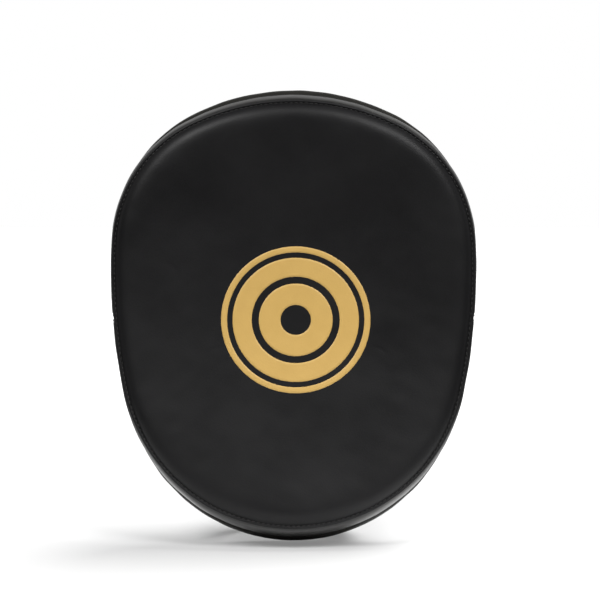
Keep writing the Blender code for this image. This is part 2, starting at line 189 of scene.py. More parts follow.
def grid_object(name, points, kind, wrap_columns=True, closed=False, **options):
    """Surface through points[row][column], its last ring closed by a face if it should be."""
    faces = grid_faces(*points.shape[:2], wrap_columns=wrap_columns)
    if closed:
        faces.append(cap(points))
    return mesh_object(name, points, faces, kind, **options)


def outward(obj):
    """Turns all faces of a closed piece outward."""
    mesh = bmesh.new()
    mesh.from_mesh(obj.data)
    bmesh.ops.remove_doubles(mesh, verts=mesh.verts, dist=1e-7)
    bmesh.ops.recalc_face_normals(mesh, faces=mesh.faces)
    mesh.to_mesh(obj.data)
    mesh.free()
    return obj


def tangents_of(path, closed):
    if closed:
        tangents = np.roll(path, -1, axis=0) - np.roll(path, 1, axis=0)
    else:
        tangents = np.gradient(path, axis=0)
    return tangents / np.linalg.norm(tangents, axis=1)[:, None]


def sweep(name, path, ups, section, kind, closed=False, **options):
    """Sweeps a closed section, (across, up) in millimetres, along a path whose up directions are given."""
    path = np.asarray(path)
    tangents = tangents_of(path, closed)
    ups = np.asarray(ups) - np.sum(ups * tangents, axis=1)[:, None] * tangents
    ups = ups / np.linalg.norm(ups, axis=1)[:, None]
    sides = np.cross(tangents, ups)
    section = np.broadcast_to(np.asarray(section) * MM, (len(path), *np.shape(section)))
    points = path[:, None] + sides[:, None] * section[..., :1] + ups[:, None] * section[..., 1:]
    count, around = points.shape[:2]
    faces = grid_faces(count, around, wrap_rows=closed, wrap_columns=True)
    if not closed:
        faces.append(tuple(range(around)))
        faces.append(cap(points))
    return outward(mesh_object(name, points, faces, kind, **options))


def oval(width, height, count=10, power=2.0):
    """Closed superellipse section."""
    angle = np.arange(count) * math.tau / count
    across = np.sign(np.cos(angle)) * np.abs(np.cos(angle)) ** (2.0 / power)
    up = np.sign(np.sin(angle)) * np.abs(np.sin(angle)) ** (2.0 / power)
    return np.stack((0.5 * width * across, 0.5 * height * up), axis=-1)


STITCH_STATIONS = np.linspace(-0.5, 0.5, 6)
STITCH_SIDES = 6
STITCH_DIP = 1.3


def stitch_row(name, path, ups, closed=False, pitch=STITCH_PITCH, length=2.1, radius=0.34, **options):
    """Separate thread stitches laid along a path, each dipping into the leather at its ends."""
    path = np.asarray(path)
    ring = np.vstack((path, path[:1])) if closed else path
    ring_ups = np.vstack((ups, ups[:1])) if closed else np.asarray(ups)
    steps = np.linalg.norm(np.diff(ring, axis=0), axis=1)
    along = np.concatenate(((0.0,), np.cumsum(steps)))
    total = along[-1]
    number = max(2, int(round(total / (pitch * MM))))
    points = []
    faces = []
    for middle in (np.arange(number) + 0.5) * total / number:
        first = len(points)
        places = middle + STITCH_STATIONS * length * MM
        spots = np.stack([np.interp(places, along, ring[:, axis]) for axis in range(3)], axis=-1)
        up = np.array([np.interp(middle, along, ring_ups[:, axis]) for axis in range(3)])
        up /= np.linalg.norm(up)
        direction = spots[-1] - spots[0]
        direction /= np.linalg.norm(direction)
        side = np.cross(direction, up)
        for place, spot in zip(STITCH_STATIONS, spots):
            swell = math.sqrt(max(0.0, 1.0 - (2.0 * place) ** 2) * 0.9 + 0.1)
            dip = -STITCH_DIP * radius * (2.0 * place) ** 4
            for step in range(STITCH_SIDES):
                angle = math.tau * step / STITCH_SIDES
                offset = side * math.cos(angle) + up * math.sin(angle)
                points.append(spot + (offset * radius * swell + up * dip) * MM)
        faces += grid_faces(len(STITCH_STATIONS), STITCH_SIDES, wrap_columns=True, first=first)
        faces.append(tuple(range(first, first + STITCH_SIDES)))
        last = first + (len(STITCH_STATIONS) - 1) * STITCH_SIDES
        faces.append(tuple(range(last, last + STITCH_SIDES)))
    return outward(mesh_object(name, np.array(points), faces, "thread", **options))


def push_out(points, amount):
    """Moves a grid along its own normals, which are turned away from the pad. amount is in millimetres."""
    cross = np.cross(np.gradient(points, axis=1), np.gradient(points, axis=0))
    normals = cross / (np.linalg.norm(cross, axis=-1)[..., None] + 1e-12)
    if normals[..., 1].sum() < 0.0:
        normals = -normals
    return points + normals * (amount * MM)[..., None]


def slab(name, outer, inner, kind, **options):
    """Closed piece between two grids of the same shape."""
    rows, columns = outer.shape[:2]
    size = rows * columns
    points = np.concatenate((outer.reshape(-1, 3), inner.reshape(-1, 3)))
    faces = grid_faces(rows, columns)
    faces += [tuple(reversed(face)) for face in grid_faces(rows, columns, first=size)]
    border = [(0, column) for column in range(columns)]
    border += [(row, columns - 1) for row in range(1, rows)]
    border += [(rows - 1, column) for column in range(columns - 2, -1, -1)]
    border += [(row, 0) for row in range(rows - 2, 0, -1)]
    places = [row * columns + column for row, column in border]
    for here, after in zip(places, places[1:] + places[:1]):
        faces.append((here, after, after + size, here + size))
    return outward(mesh_object(name, points, faces, kind, **options))


# Materials


def new_material(name, colour, roughness, **sockets):
    """A Principled material. Its constant values sit on the shader's own sockets."""
    material = bpy.data.materials.new(name)
    material.use_nodes = True
    shader = material.node_tree.nodes["Principled BSDF"]
    shader.inputs["Base Color"].default_value = (*colour, 1.0)
    shader.inputs["Roughness"].default_value = roughness
    for socket, value in sockets.items():
        shader.inputs[socket.replace("_", " ")].default_value = value
    material.diffuse_color = (*colour, 1.0)
    return material, material.node_tree, shader


def add_node(tree, kind, **inputs):
    """A node with its inputs, or where it has no such input its settings, filled in."""
    node = tree.nodes.new(kind)
    for name, value in inputs.items():
        key = name.replace("_", " ")
        if key in node.inputs:
            node.inputs[key].default_value = value
        else:
            setattr(node, name, value)
    return node


def textures(tree, *recipes):
    """Texture nodes in the piece's own space, one for each (kind, inputs)."""
    place = tree.nodes.new("ShaderNodeTexCoord").outputs["Object"]
    nodes = []
    for kind, inputs in recipes:
        node = add_node(tree, "ShaderNodeTex" + kind, **inputs)
        tree.links.new(place, node.inputs["Vector"])
        nodes.append(node)
    return nodes


def scaled(colour, factor):
    return tuple(channel * factor for channel in colour)


def colour_between(tree, shader, factor, low, high):
    """Base colour from low to high as factor goes from 0 to 1."""
    ramp = tree.nodes.new("ShaderNodeValToRGB")
    ramp.color_ramp.elements[0].color = (*low, 1.0)
    ramp.color_ramp.elements[1].color = (*high, 1.0)
    tree.links.new(factor, ramp.inputs["Fac"])
    tree.links.new(ramp.outputs["Color"], shader.inputs["Base Color"])


def spread(tree, value, low, high, to_low, to_high):
    """Maps a value from one range to another and keeps it inside."""
    node = tree.nodes.new("ShaderNodeMapRange")
    node.inputs["From Min"].default_value = low
    node.inputs["From Max"].default_value = high
    node.inputs["To Min"].default_value = to_low
    node.inputs["To Max"].default_value = to_high
    tree.links.new(value, node.inputs["Value"])
    return node.outputs["Result"]


def bumps(tree, shader, *layers):
    """Chains bump nodes: each layer is (height output, distance in millimetres, strength)."""
    normal = None
    for height, distance, strength in layers:
        bump = add_node(tree, "ShaderNodeBump", Distance=distance * MM, Strength=strength)
        tree.links.new(height, bump.inputs["Height"])
        if normal is not None:
            tree.links.new(normal, bump.inputs["Normal"])
        normal = bump.outputs["Normal"]
    tree.links.new(normal, shader.inputs["Normal"])


def product(tree, first, second):
    node = add_node(tree, "ShaderNodeMath", operation="MULTIPLY")
    tree.links.new(first, node.inputs[0])
    tree.links.new(second, node.inputs[1])
    return node.outputs["Value"]


def leather(name, colour, roughness, grain=900.0, relief=0.12, mottling=0.25, **sockets):
    """Coated leather: pebbled grain, fine pores, slow mottling and rubbed spots."""
    material, tree, shader = new_material(name, colour, roughness, **sockets)
    pebbles, pores, slow = textures(
        tree,
        ("Voronoi", {"feature": "SMOOTH_F1", "Scale": grain, "Smoothness": 0.6}),
        ("Noise", {"Scale": grain * 2.6, "Detail": 3.0, "Roughness": 0.6}),
        ("Noise", {"Scale": 24.0, "Detail": 5.0, "Roughness": 0.55}),
    )
    lighter = scaled(colour, 1.0 + 2.2 * mottling)
    colour_between(tree, shader, slow.outputs["Fac"], scaled(colour, 1.0 - mottling), lighter)
    rough = spread(tree, slow.outputs["Fac"], 0.3, 0.7, roughness - 0.05, roughness + 0.06)
    tree.links.new(rough, shader.inputs["Roughness"])
    bumps(tree, shader, (pebbles.outputs["Distance"], relief, 0.55), (pores.outputs["Fac"], relief * 0.5, 0.35))
    return material


def weave(name, colour, pitch, relief, roughness=0.85, **sockets):
    """Woven cloth: two crossed sets of threads with a little fibre noise."""
    material, tree, shader = new_material(name, colour, roughness, **sockets)
    thread = {"Scale": 0.5 / (pitch * MM) / math.pi, "Distortion": 0.6, "Detail_Scale": 3.0}
    across, along, fibre = textures(
        tree,
        ("Wave", {**thread, "bands_direction": "X"}),
        ("Wave", {**thread, "bands_direction": "Z"}),
        ("Noise", {"Scale": 3000.0, "Detail": 2.0}),
    )
    both = product(tree, across.outputs["Fac"], along.outputs["Fac"])
    colour_between(tree, shader, both, scaled(colour, 0.55), scaled(colour, 1.7))
    bumps(tree, shader, (both, relief, 0.8), (fibre.outputs["Fac"], relief * 0.4, 0.4))
    return material


def fuzzy(name, colour, scale, relief, roughness=0.95, **sockets):
    """Pile or foam: cells of two sizes."""
    material, tree, shader = new_material(name, colour, roughness, **sockets)
    cells, dust = textures(
        tree,
        ("Voronoi", {"feature": "F1", "Scale": scale}),
        ("Noise", {"Scale": scale * 2.2, "Detail": 4.0, "Roughness": 0.7}),
    )
    colour_between(tree, shader, dust.outputs["Fac"], scaled(colour, 0.6), scaled(colour, 1.6))
    bumps(tree, shader, (cells.outputs["Distance"], relief, 0.7), (dust.outputs["Fac"], relief * 0.6, 0.5))
    return material


GOLD_FLAT = (0.62, 0.385, 0.105)
GOLD_THIN = (0.405, 0.254, 0.066)
GOLD_THICK = (0.462, 0.293, 0.08)


def gold_ink():
    """Screen-printed gold ink: satin, with fine flakes and slightly uneven cover over the grain."""
    material, tree, shader = new_material("gold_ink", GOLD_FLAT, 0.5, Specular_IOR_Level=0.45)
    flakes, grain, cover = textures(
        tree,
        ("Voronoi", {"feature": "F1", "Scale": 2600.0}),
        ("Voronoi", {"feature": "SMOOTH_F1", "Scale": 900.0, "Smoothness": 0.6}),
        ("Noise", {"Scale": 130.0, "Detail": 6.0, "Roughness": 0.65}),
    )
    colour_between(tree, shader, cover.outputs["Fac"], GOLD_THIN, GOLD_THICK)
    rough = spread(tree, flakes.outputs["Distance"], 0.0, 1.0, 0.42, 0.62)
    tree.links.new(rough, shader.inputs["Roughness"])
    bumps(tree, shader, (grain.outputs["Distance"], 0.07, 0.4), (flakes.outputs["Distance"], 0.02, 0.3))
    return material


def metal(name, colour, roughness):
    """Plated metal with fine brush marks and a few dull spots."""
    material, tree, shader = new_material(name, colour, roughness, Metallic=1.0)
    marks = textures(tree, ("Noise", {"Scale": 900.0, "Detail": 4.0}))[0]
    rough = spread(tree, marks.outputs["Fac"], 0.3, 0.7, roughness - 0.08, roughness + 0.12)
    tree.links.new(rough, shader.inputs["Roughness"])
    bumps(tree, shader, (marks.outputs["Fac"], 0.02, 0.3))
    return material


FACE_BLACK = (0.0042, 0.0041, 0.0044)
EDGE_BLACK = (0.0055, 0.0053, 0.0048)
MATTE_BLACK = (0.0065, 0.0062, 0.0052)
BACK_BLACK = (0.009, 0.0088, 0.0092)
MAT = {
    "face": leather("face_vinyl", FACE_BLACK, 0.47, 1100.0, 0.05, 0.18, Specular_IOR_Level=0.2),
    "edge": leather("edge_vinyl", EDGE_BLACK, 0.4, 1000.0, 0.05, Specular_IOR_Level=0.5),
    "matte": leather("base_vinyl", MATTE_BLACK, 0.62, 700.0, 0.12, Specular_IOR_Level=0.14),
    "back": leather("back_vinyl", BACK_BLACK, 0.5, 800.0, 0.12, Specular_IOR_Level=0.4),
    "ink": gold_ink(),
    "thread": weave("black_thread", (0.011, 0.0105, 0.010), 0.35, 0.05, 0.75),
    "binding": weave("edge_tape", (0.017, 0.017, 0.018), 0.7, 0.06, 0.8),
    "lining": weave("lining_knit", (0.035, 0.035, 0.038), 1.3, 0.18, 0.95, Sheen_Weight=0.25),
    "mesh": fuzzy("spacer_mesh", (0.022, 0.022, 0.024), 420.0, 0.35, 0.9, Sheen_Weight=0.2),
    "webbing": weave("strap_webbing", (0.016, 0.016, 0.017), 1.1, 0.1, 0.8),
    "pile": fuzzy("loop_pile", (0.012, 0.012, 0.013), 1500.0, 0.4, 0.95, Sheen_Weight=0.35),
    "hooks": fuzzy("hook_nylon", (0.014, 0.014, 0.015), 1200.0, 0.1, 0.45),
    "rubber": leather("tab_rubber", (0.028, 0.028, 0.029), 0.62, 1500.0, 0.04),
    "foam": fuzzy("cell_foam", (0.16, 0.16, 0.17), 900.0, 0.2, 0.95),
    # Near-black disc in each vent's throat: painted shade of the hole, not a dark foam.
    "throat_shade": fuzzy("vent_throat", (0.006, 0.006, 0.006), 900.0, 0.2, 0.95),
    "steel": metal("eyelet_steel", (0.55, 0.55, 0.57), 0.28),
}


# Noise and measures on the flat pad


def waves(x, y, scale, seed, number=26):
    """Smooth seeded unevenness, about -1 to 1, from crossed waves of about that scale in millimetres."""
    chance = np.random.default_rng(seed)
    total = np.zeros(np.broadcast(x, y).shape)
    for _ in range(number):
        turn = chance.uniform(0.0, math.tau)
        length = scale * chance.uniform(1.3, 3.2)
        phase = chance.uniform(0.0, math.tau)
        total += np.cos((x * math.cos(turn) + y * math.sin(turn)) * math.tau / length + phase)
    return total / math.sqrt(0.5 * number) * 0.6


def inset_of(x, s):
    """Distance in from the pad's outline."""
    flat = np.stack(np.broadcast_arrays(x, s), axis=-1).reshape(-1, 2)
    nearest = np.empty(len(flat))
    for first in range(0, len(flat), 4000):
        part = flat[first : first + 4000]
        gaps = np.linalg.norm(part[:, None] - RIM_POINTS[None], axis=2)
        nearest[first : first + 4000] = gaps.min(axis=1)
    return nearest.reshape(np.broadcast(x, s).shape)


def rim_flat(inset):
    return RIM_POINTS - RIM_NORMALS * inset


def rim_path(inset, level):
    """Bent line round the pad, at an inset from its outline and a depth t."""
    flat = rim_flat(inset)
    return bend(flat[:, 0], flat[:, 1], level)


def rim_outs():
    """Outward directions round the pad's edge."""
    return rim_path(-1.0, 15.0) - rim_path(0.0, 15.0)


def shrinking_rings(insets, number, share):
    """Flat rings at insets from the outline, then rings that shrink to the pad's middle."""
    rings = [rim_flat(inset) for inset in insets]
    last = rings[-1]
    for step in range(1, number + 1):
        rings.append(CENTRE + (last - CENTRE) * (1.0 - step / (number + share)))
    rings = np.array(rings)
    depths = inset_of(rings[..., 0], rings[..., 1])
    for place, inset in enumerate(insets):
        depths[place] = inset
    return rings[..., 0], rings[..., 1], depths


# The striking face and its print


def dent(x, s, centre, half, depth):
    """Soft oval hollow, or a swelling if depth is negative."""
    return depth * np.exp(-(((x - centre[0]) / half[0]) ** 2) - ((s - centre[1]) / half[1]) ** 2)


CREASE_WIDTH = 0.9
CREASE_DEPTH = 0.16
CREASE_BOW = 3.0


def crease(x, s, start, end):
    """Fine line pressed into the leather between two points, dying out at its ends."""
    start, end = np.array(start), np.array(end)
    run = end - start
    length = np.linalg.norm(run)
    run /= length
    along = ((x - start[0]) * run[0] + (s - start[1]) * run[1]) / length
    off = (x - start[0]) * -run[1] + (s - start[1]) * run[0]
    bow = CREASE_BOW * np.sin(np.clip(along, 0.0, 1.0) * math.pi)
    fade = smooth(along * 4.0) * smooth((1.0 - along) * 4.0)
    return CREASE_DEPTH * fade * np.exp(-(((off - bow) / CREASE_WIDTH) ** 2))


RIM_START = 2.3
STITCH_INSET = 1.75
FACE_DENTS = (
    ((2.0, 188.0), (17.0, 40.0), 1.35),
    ((-40.0, 52.0), (26.0, 34.0), -0.55),
    ((42.0, 54.0), (26.0, 34.0), -0.55),
    ((0.0, 36.0), (14.0, 40.0), 0.35),
)
FACE_CREASES = (
    ((-46.0, 101.0), (-38.5, 95.0)),
    ((43.0, 101.5), (52.0, 94.0)),
    ((-72.0, 150.0), (-64.0, 137.0)),
    ((61.0, 170.0), (70.0, 158.0)),
)


def face_level(x, s, inset):
    """Depth t of the striking face: a rolled rim, a crowned middle and the unevenness of stuffed leather."""
    past = np.maximum(inset - RIM_START, 0.0)
    level = -0.55 - 4.3 * (1.0 - np.exp(-past / 2.7)) - 2.3 * (1.0 - np.exp(-past / 16.0))
    inner = smooth((inset - 3.0) / 12.0)
    level = level + inner * 0.22 * waves(x, s, 26.0, 11)
    level = level + smooth((inset - 2.5) / 5.0) * 0.05 * waves(x, s, 7.0, 12)
    for centre, half, depth in FACE_DENTS:
        level = level + inner * dent(x, s, centre, half, depth)
    for start, end in FACE_CREASES:
        level = level + crease(x, s, start, end)
    return level


# The face's flange, from inside its turned edge, out round it and in to the rolled rim, as (inset, t).
FACE_EDGE = (
    (3.2, 1.5), (1.6, 1.45), (0.6, 1.3), (0.12, 1.0), (0.0, 0.65), (0.12, 0.3), (0.4, 0.02), (0.8, -0.14),
    (1.2, -0.1), (1.5, 0.16), (1.75, 0.3), (2.0, 0.14), (2.3, -0.55),
)
INNER_INSETS = (
    2.6, 3.0, 3.5, 4.1, 4.8, 5.6, 6.5, 7.5, 8.7, 10.0, 11.5, 13.0, 14.7, 16.5, 18.5, 20.5, 22.5, 24.5, 27.0,
)
INNER_RINGS = 40


def stitch_pucker(inset, distance, reach=3.0, depth=0.13):
    """Scallops that the stitches pull into the leather beside them."""
    count = round(2.0 * HALF_LENGTH / STITCH_PITCH)
    wave = np.cos(distance * count * math.tau / (2.0 * HALF_LENGTH))
    return depth * wave * np.exp(-np.abs(inset - STITCH_INSET) / reach)


def face_cover():
    distance = np.arange(AROUND) * 2.0 * HALF_LENGTH / AROUND
    uneven = 0.16 * waves(RIM_POINTS[:, 0], RIM_POINTS[:, 1], 9.0, 21)
    rows = []
    for inset, level in FACE_EDGE:
        pucker = stitch_pucker(inset, distance, depth=0.08)
        rows.append(rim_path((inset + 0.35 * uneven)[:, None], level + uneven * 0.5 + pucker))
    x, s, insets = shrinking_rings(INNER_INSETS, INNER_RINGS, 0.4)
    levels = face_level(x, s, insets)
    levels += stitch_pucker(insets, distance[None, :], reach=2.2) * (insets < 14.0)
    levels += 0.5 * uneven[None, :] * np.exp(-insets / 4.0)
    rows += list(bend(x, s, levels))
    grid_object("face_leather", np.array(rows), "face", closed=True, node="front_cover", fill=0.85)
    path = rim_path(STITCH_INSET, 0.16)
    outs = path - rim_path(STITCH_INSET, 1.0)
    stitch_row("face_topstitching", path, outs, closed=True, length=2.05, radius=0.36, node="front_topstitch")


PRINT_CENTRE = (1.2, 117.0)
PRINT_LIFT = 0.07
PRINT_EDGE = 0.1
PRINTS = (
    ("print_ring_outer", 38.2, 41.5),
    ("print_ring_middle", 24.5, 35.1),
    ("print_ring_inner", 8.5, 20.5),
)


def print_rings():
    """Gold rings of ink, a little proud of the leather, following its unevenness."""
    for name, inner, outer in PRINTS:
        steps = max(3, int((outer - inner) / 1.1))
        radii = [inner - PRINT_EDGE] + list(np.linspace(inner, outer, steps + 1)) + [outer + PRINT_EDGE]
        lifts = [-PRINT_EDGE] + [PRINT_LIFT] * (steps + 1) + [-PRINT_EDGE]
        angle = np.arange(220) * math.tau / 220
        rows = []
        for radius, lift in zip(radii, lifts):
            ragged = radius + 0.05 * np.sin(angle * 61.0) * np.sin(angle * 17.0 + radius)
            x = PRINT_CENTRE[0] + ragged * np.sin(angle)
            s = PRINT_CENTRE[1] + ragged * np.cos(angle)
            rows.append(bend(x, s, face_level(x, s, inset_of(x, s)) - lift))
        grid_object(name + "_ink", np.array(rows), "ink", node=name)


# The pad's sides


def cord_round(name, node, inset, level, radius, kind):
    section = oval(2.0 * radius, 2.0 * radius, 12)
    sweep(name, rim_path(inset, level), rim_outs(), section, kind, closed=True, node=node)


STRIP_INSET = 0.9
TOP_FROM = 205.0
TOP_FADE = 30.0
END_PINCH = 1.3
# Section of a puffed strip from its front edge to its rear one, as (share of its depth, share of its bulge).
STRIP_PROFILE = (
    (0.13, -1.2), (0.04, -0.55), (0.0, 0.0), (0.015, 0.28), (0.05, 0.5), (0.1, 0.68), (0.17, 0.82), (0.26, 0.93),
    (0.38, 0.99), (0.5, 1.0), (0.62, 0.99), (0.74, 0.93), (0.83, 0.82), (0.9, 0.68), (0.95, 0.5), (0.985, 0.28),
    (1.0, 0.0), (0.96, -0.55), (0.87, -1.2),
)


def side_strip(node, depths, bulge, indices, kind, seed, ends=False, flatter=0.0):
    """Puffed leather strip round the pad's side, its long edges turned in, flatter at the pad's top."""
    low, high = depths
    flat = RIM_POINTS[indices]
    normal = RIM_NORMALS[indices]
    distance = np.arange(len(indices)) * 2.0 * HALF_LENGTH / AROUND
    pinch = np.zeros(len(indices))
    if ends:
        from_end = np.minimum(distance, distance[-1] - distance)
        pinch = np.exp(-((from_end / 1.5) ** 2)) * END_PINCH
    rows = []
    for part, out in STRIP_PROFILE:
        proud = max(out, 0.0)
        swell = out * bulge + out * (0.1 * waves(distance, distance * 0.0 + part * 9.0, 10.0, seed))
        swell = swell - STRIP_INSET - pinch * min(proud, 1.0)
        swell = swell - flatter * min(proud, 1.0) * smooth((flat[:, 1] - TOP_FROM) / TOP_FADE)
        level = low + (high - low) * part + 0.12 * waves(distance, part, 16.0, seed + 1)
        rows.append(bend(flat[:, 0] + normal[:, 0] * swell, flat[:, 1] + normal[:, 1] * swell, level))
    grid_object(node + "_leather", np.array(rows), kind, wrap_columns=not ends, node=node)


def join_index():
    """Place along the outline, on the right side, where the upper and lower gussets meet."""
    headings = np.arctan2(RIM_NORMALS[:, 0], RIM_NORMALS[:, 1])
    return int(np.argmin(np.abs(headings[: AROUND // 2] - JOIN_HEADING)))


GUSSET_DEPTHS = (1.9, 17.6)
BAND_DEPTHS = (19.2, 28.3)
JOIN_DEPTHS = (5.4, 16.2)
TACK_MIDDLE = 10.7
TACK_HALF = 1.6


def sides():
    join = join_index()
    upper = [index % AROUND for index in range(AROUND - join, AROUND + join + 1)]
    lower = list(range(join, AROUND - join + 1))
    side_strip("gusset_upper", GUSSET_DEPTHS, 2.0, upper, "edge", 31, ends=True, flatter=0.6)
    side_strip("gusset_lower", GUSSET_DEPTHS, 2.0, lower, "edge", 33, ends=True)
    side_strip("base_band", BAND_DEPTHS, 1.9, list(range(AROUND)), "matte", 35)
    cord_round("front_welt", "front_piping", 1.9, 1.75, 0.9, "edge")
    cord_round("mid_welt", "mid_piping", 1.5, 18.4, 1.25, "matte")
    cord_round("rear_welt", "rear_piping", 1.3, 29.3, 1.3, "matte")
    outs = rim_outs()
    for side, index in (("right", join), ("left", AROUND - join)):
        node = "gusset_join_" + side
        out = outs[index] / np.linalg.norm(outs[index])
        path = join_line(index, 0.05, np.linspace(*JOIN_DEPTHS, 14))
        sweep(node + "_seam", path, np.tile(out, (14, 1)), oval(0.7, 0.9, 8), "thread", node=node)
        for number, place in ((1, index - 1), (2, index + 1)):
            bar = join_line(place, 0.75, TACK_MIDDLE + np.linspace(-TACK_HALF, TACK_HALF, 6))
            sweep(f"{node}_bartack_{number}", bar, np.tile(out, (6, 1)), oval(1.1, 0.9, 8), "thread")


def join_line(index, out, levels):
    """Line across the gusset at one place of the outline."""
    flat = RIM_POINTS[index] + RIM_NORMALS[index] * out
    return bend(np.full(len(levels), flat[0]), np.full(len(levels), flat[1]), levels)


# The back


BACK_EDGE = (
    (3.0, 30.2), (1.4, 30.3), (0.6, 30.6), (0.15, 31.1), (0.15, 31.5), (0.5, 31.9), (1.1, 32.08), (1.9, 32.1),
)
BACK_INSETS = (2.6, 2.9, 3.2, 3.6, 4.2, 5.0, 6.5, 9.0, 12.0, 16.0, 20.0, 25.0)
BACK_STITCH_INSET = 3.05


def back_level(x, s, inset):
    level = BACK_T + 0.15 * waves(x, s, 22.0, 41) * smooth((inset - 4.0) / 10.0)
    return level - 0.42 * np.exp(-(((inset - BACK_STITCH_INSET) / 0.45) ** 2))


def back_panel():
    rows = [rim_path(inset, level) for inset, level in BACK_EDGE]
    x, s, insets = shrinking_rings(BACK_INSETS, 24, 0.4)
    rows += list(bend(x, s, back_level(x, s, insets)))
    grid_object("back_leather", np.array(rows), "back", closed=True, node="rear_cover")
    path = rim_path(BACK_STITCH_INSET, BACK_T - 0.15)
    outs = rim_path(BACK_STITCH_INSET, BACK_T + 1.0) - path
    stitch_row("back_topstitching", path, outs, closed=True, pitch=3.2, length=2.4)


# Arched compartments for the fingers and the thumb. grow is the cover's full thickness, of which the lining
# takes the inmost part, and arc turns an angle over the arch into millimetres.


SEAT = 0.6
LEATHER = 1.4
LINING = 0.8
HOOD = {
    "mouth": (0.0, 138.0), "turn": 0.0, "length": 91.0, "width": 53.0, "depth": 37.0, "tip_depth": 13.0,
    "grow": 7.4, "arc": 52.0,
}
THUMB = {
    "mouth": (-56.0, 90.0), "turn": 26.0, "length": 52.0, "width": 14.5, "depth": 23.0, "tip_depth": 17.0,
    "grow": 2.8, "arc": 19.0,
}


def arch_flat(design, grow, part, angle):
    """Flat x, s and height h of points on an arch. part runs from the mouth to the tip, angle over the arch."""
    turn = math.radians(design["turn"])
    width = (design["width"] + grow) * (1.0 - part**4) ** 0.35
    taper = design["depth"] + (design["tip_depth"] - design["depth"]) * part
    depth = (taper + grow) * (1.0 - part**8) ** 0.25
    along = (design["length"] + grow) * part
    cosine = np.cos(angle)
    across = -width * np.sign(cosine) * np.abs(cosine) ** 0.8
    height = SEAT + depth * np.abs(np.sin(angle)) ** 0.8
    x = design["mouth"][0] + across * math.cos(turn) - along * math.sin(turn)
    s = design["mouth"][1] + across * math.sin(turn) + along * math.cos(turn)
    return x, s, height


def arch_grid(design, grow, parts, angles):
    part, angle = np.meshgrid(parts, angles, indexing="ij")
    x, s, height = arch_flat(design, grow, part, angle)
    return bend(x, s, BACK_T + height)


def arch_parts(count):
    """Shares of an arch's length, closer together near its tip."""
    steps = np.linspace(0.0, 1.0, count)
    return np.minimum(1.0 - (1.0 - steps) ** 2.0, 0.9995)


def arch_angles(count):
    """Angles over the arch, closer together near its two foot lines."""
    steps = np.linspace(0.0, 1.0, count)
    return math.pi * (steps - 0.11 * np.sin(steps * math.tau) / math.tau * 2.0)


def ridge(distance, width, height):
    """A soft ridge along a line, at a distance from it."""
    return height * np.exp(-((distance / width) ** 2))


def trace(grid, parts, angles, part, angle):
    """Line through a grid at one part or at one angle."""
    if part is None:
        place = np.interp(angle, angles, np.arange(len(angles)))
        low = int(min(place, len(angles) - 2))
        return grid[:, low] * (1.0 - place + low) + grid[:, low + 1] * (place - low)
    place = np.interp(part, parts, np.arange(len(parts)))
    low = int(min(place, len(parts) - 2))
    return grid[low] * (1.0 - place + low) + grid[low + 1] * (place - low)


def arch_cover(name, design, counts, swell_of, foot_fade, nodes, lining_counts, tape_reach, fill=None):
    """Leather, lining and edge tape of an arch. Gives a function that lays a stitch row on the leather."""
    parts, angles = arch_parts(counts[0]), arch_angles(counts[1])
    part, angle = np.meshgrid(parts, angles, indexing="ij")
    grow = design["grow"]
    plain = arch_grid(design, grow, parts, angles)
    fade = (1.0 - part**12) * smooth(np.minimum(angle, math.pi - angle) / foot_fade)
    swell = swell_of(part, angle, part * (design["length"] + grow)) * fade
    inner = arch_grid(design, grow - LEATHER, parts, angles)
    slab(name + "_leather", push_out(plain, swell), inner, "back", node=nodes[0], fill=fill)
    fewer = arch_parts(lining_counts[0]), arch_angles(lining_counts[1])
    linings = [arch_grid(design, thickness, *fewer) for thickness in (LINING, 0.0)]
    slab(name + "_knit", *linings, "lining", node=nodes[1])
    bind_mouth(name + "_edge_tape", nodes[2], design, tape_reach)
    ups = push_out(plain, np.ones(part.shape)) - plain

    def stitches(label, at_part, at_angle, lift, used, thread, **options):
        path = trace(push_out(plain, swell + lift), parts, angles, at_part, at_angle)[used]
        up = trace(ups, parts, angles, at_part, at_angle)[used]
        stitch_row(f"{name}_{label}", path, up, **thread, **options)

    return stitches


TAPE_OVERHANG = 0.4


def bind_mouth(name, node, design, reach):
    """Tape folded over the edge of an arch's mouth, round all its layers."""
    turn = math.radians(design["turn"])
    grow = design["grow"]
    angles = np.linspace(0.0, math.pi, 90)
    lines = []
    for further in (0.0, 2.0):
        x, s, height = arch_flat(design, 0.5 * grow + further, np.zeros(90), angles)
        line = bend(x + TAPE_OVERHANG * math.sin(turn), s - TAPE_OVERHANG * math.cos(turn), BACK_T + height)
        lines.append(line)
    path = lines[0]
    ups = lines[1] - path
    sweep(name, path, ups, oval(reach, grow + 1.0, 18, power=4.0), "binding", node=node)
    lifted = path + ups / np.linalg.norm(ups, axis=1)[:, None] * (0.5 * grow + 0.55) * MM
    stitch_row(name + "_stitching", lifted[3:-3], ups[3:-3], **CLOSE_STITCH)


def welt_round(name, design):
    """Cord in the seam where an arch meets the back cover."""
    parts = arch_parts(60)
    feet = []
    for angle in (0.0, math.pi):
        x, s, _ = arch_flat(design, design["grow"] + 0.5, parts, np.full(60, angle))
        feet.append(np.stack((x, s), axis=-1))
    flat = np.concatenate((feet[0], feet[1][::-1]))
    steps = np.concatenate(((0.0,), np.cumsum(np.linalg.norm(np.diff(flat, axis=0), axis=1))))
    places = np.linspace(0.0, steps[-1], 150)
    x = np.interp(places, steps, flat[:, 0])
    s = np.interp(places, steps, flat[:, 1])
    path = bend(x, s, BACK_T + 0.75)
    sweep(name, path, bend(x, s, BACK_T + 2.0) - path, oval(2.0, 1.7, 10), "edge")


HOOD_SEAMS = (math.radians(58.0), math.radians(122.0))
HOOD_HEM = 6.0
HOOD_FOOT = 4.0
BESIDE_SEAM = 2.3


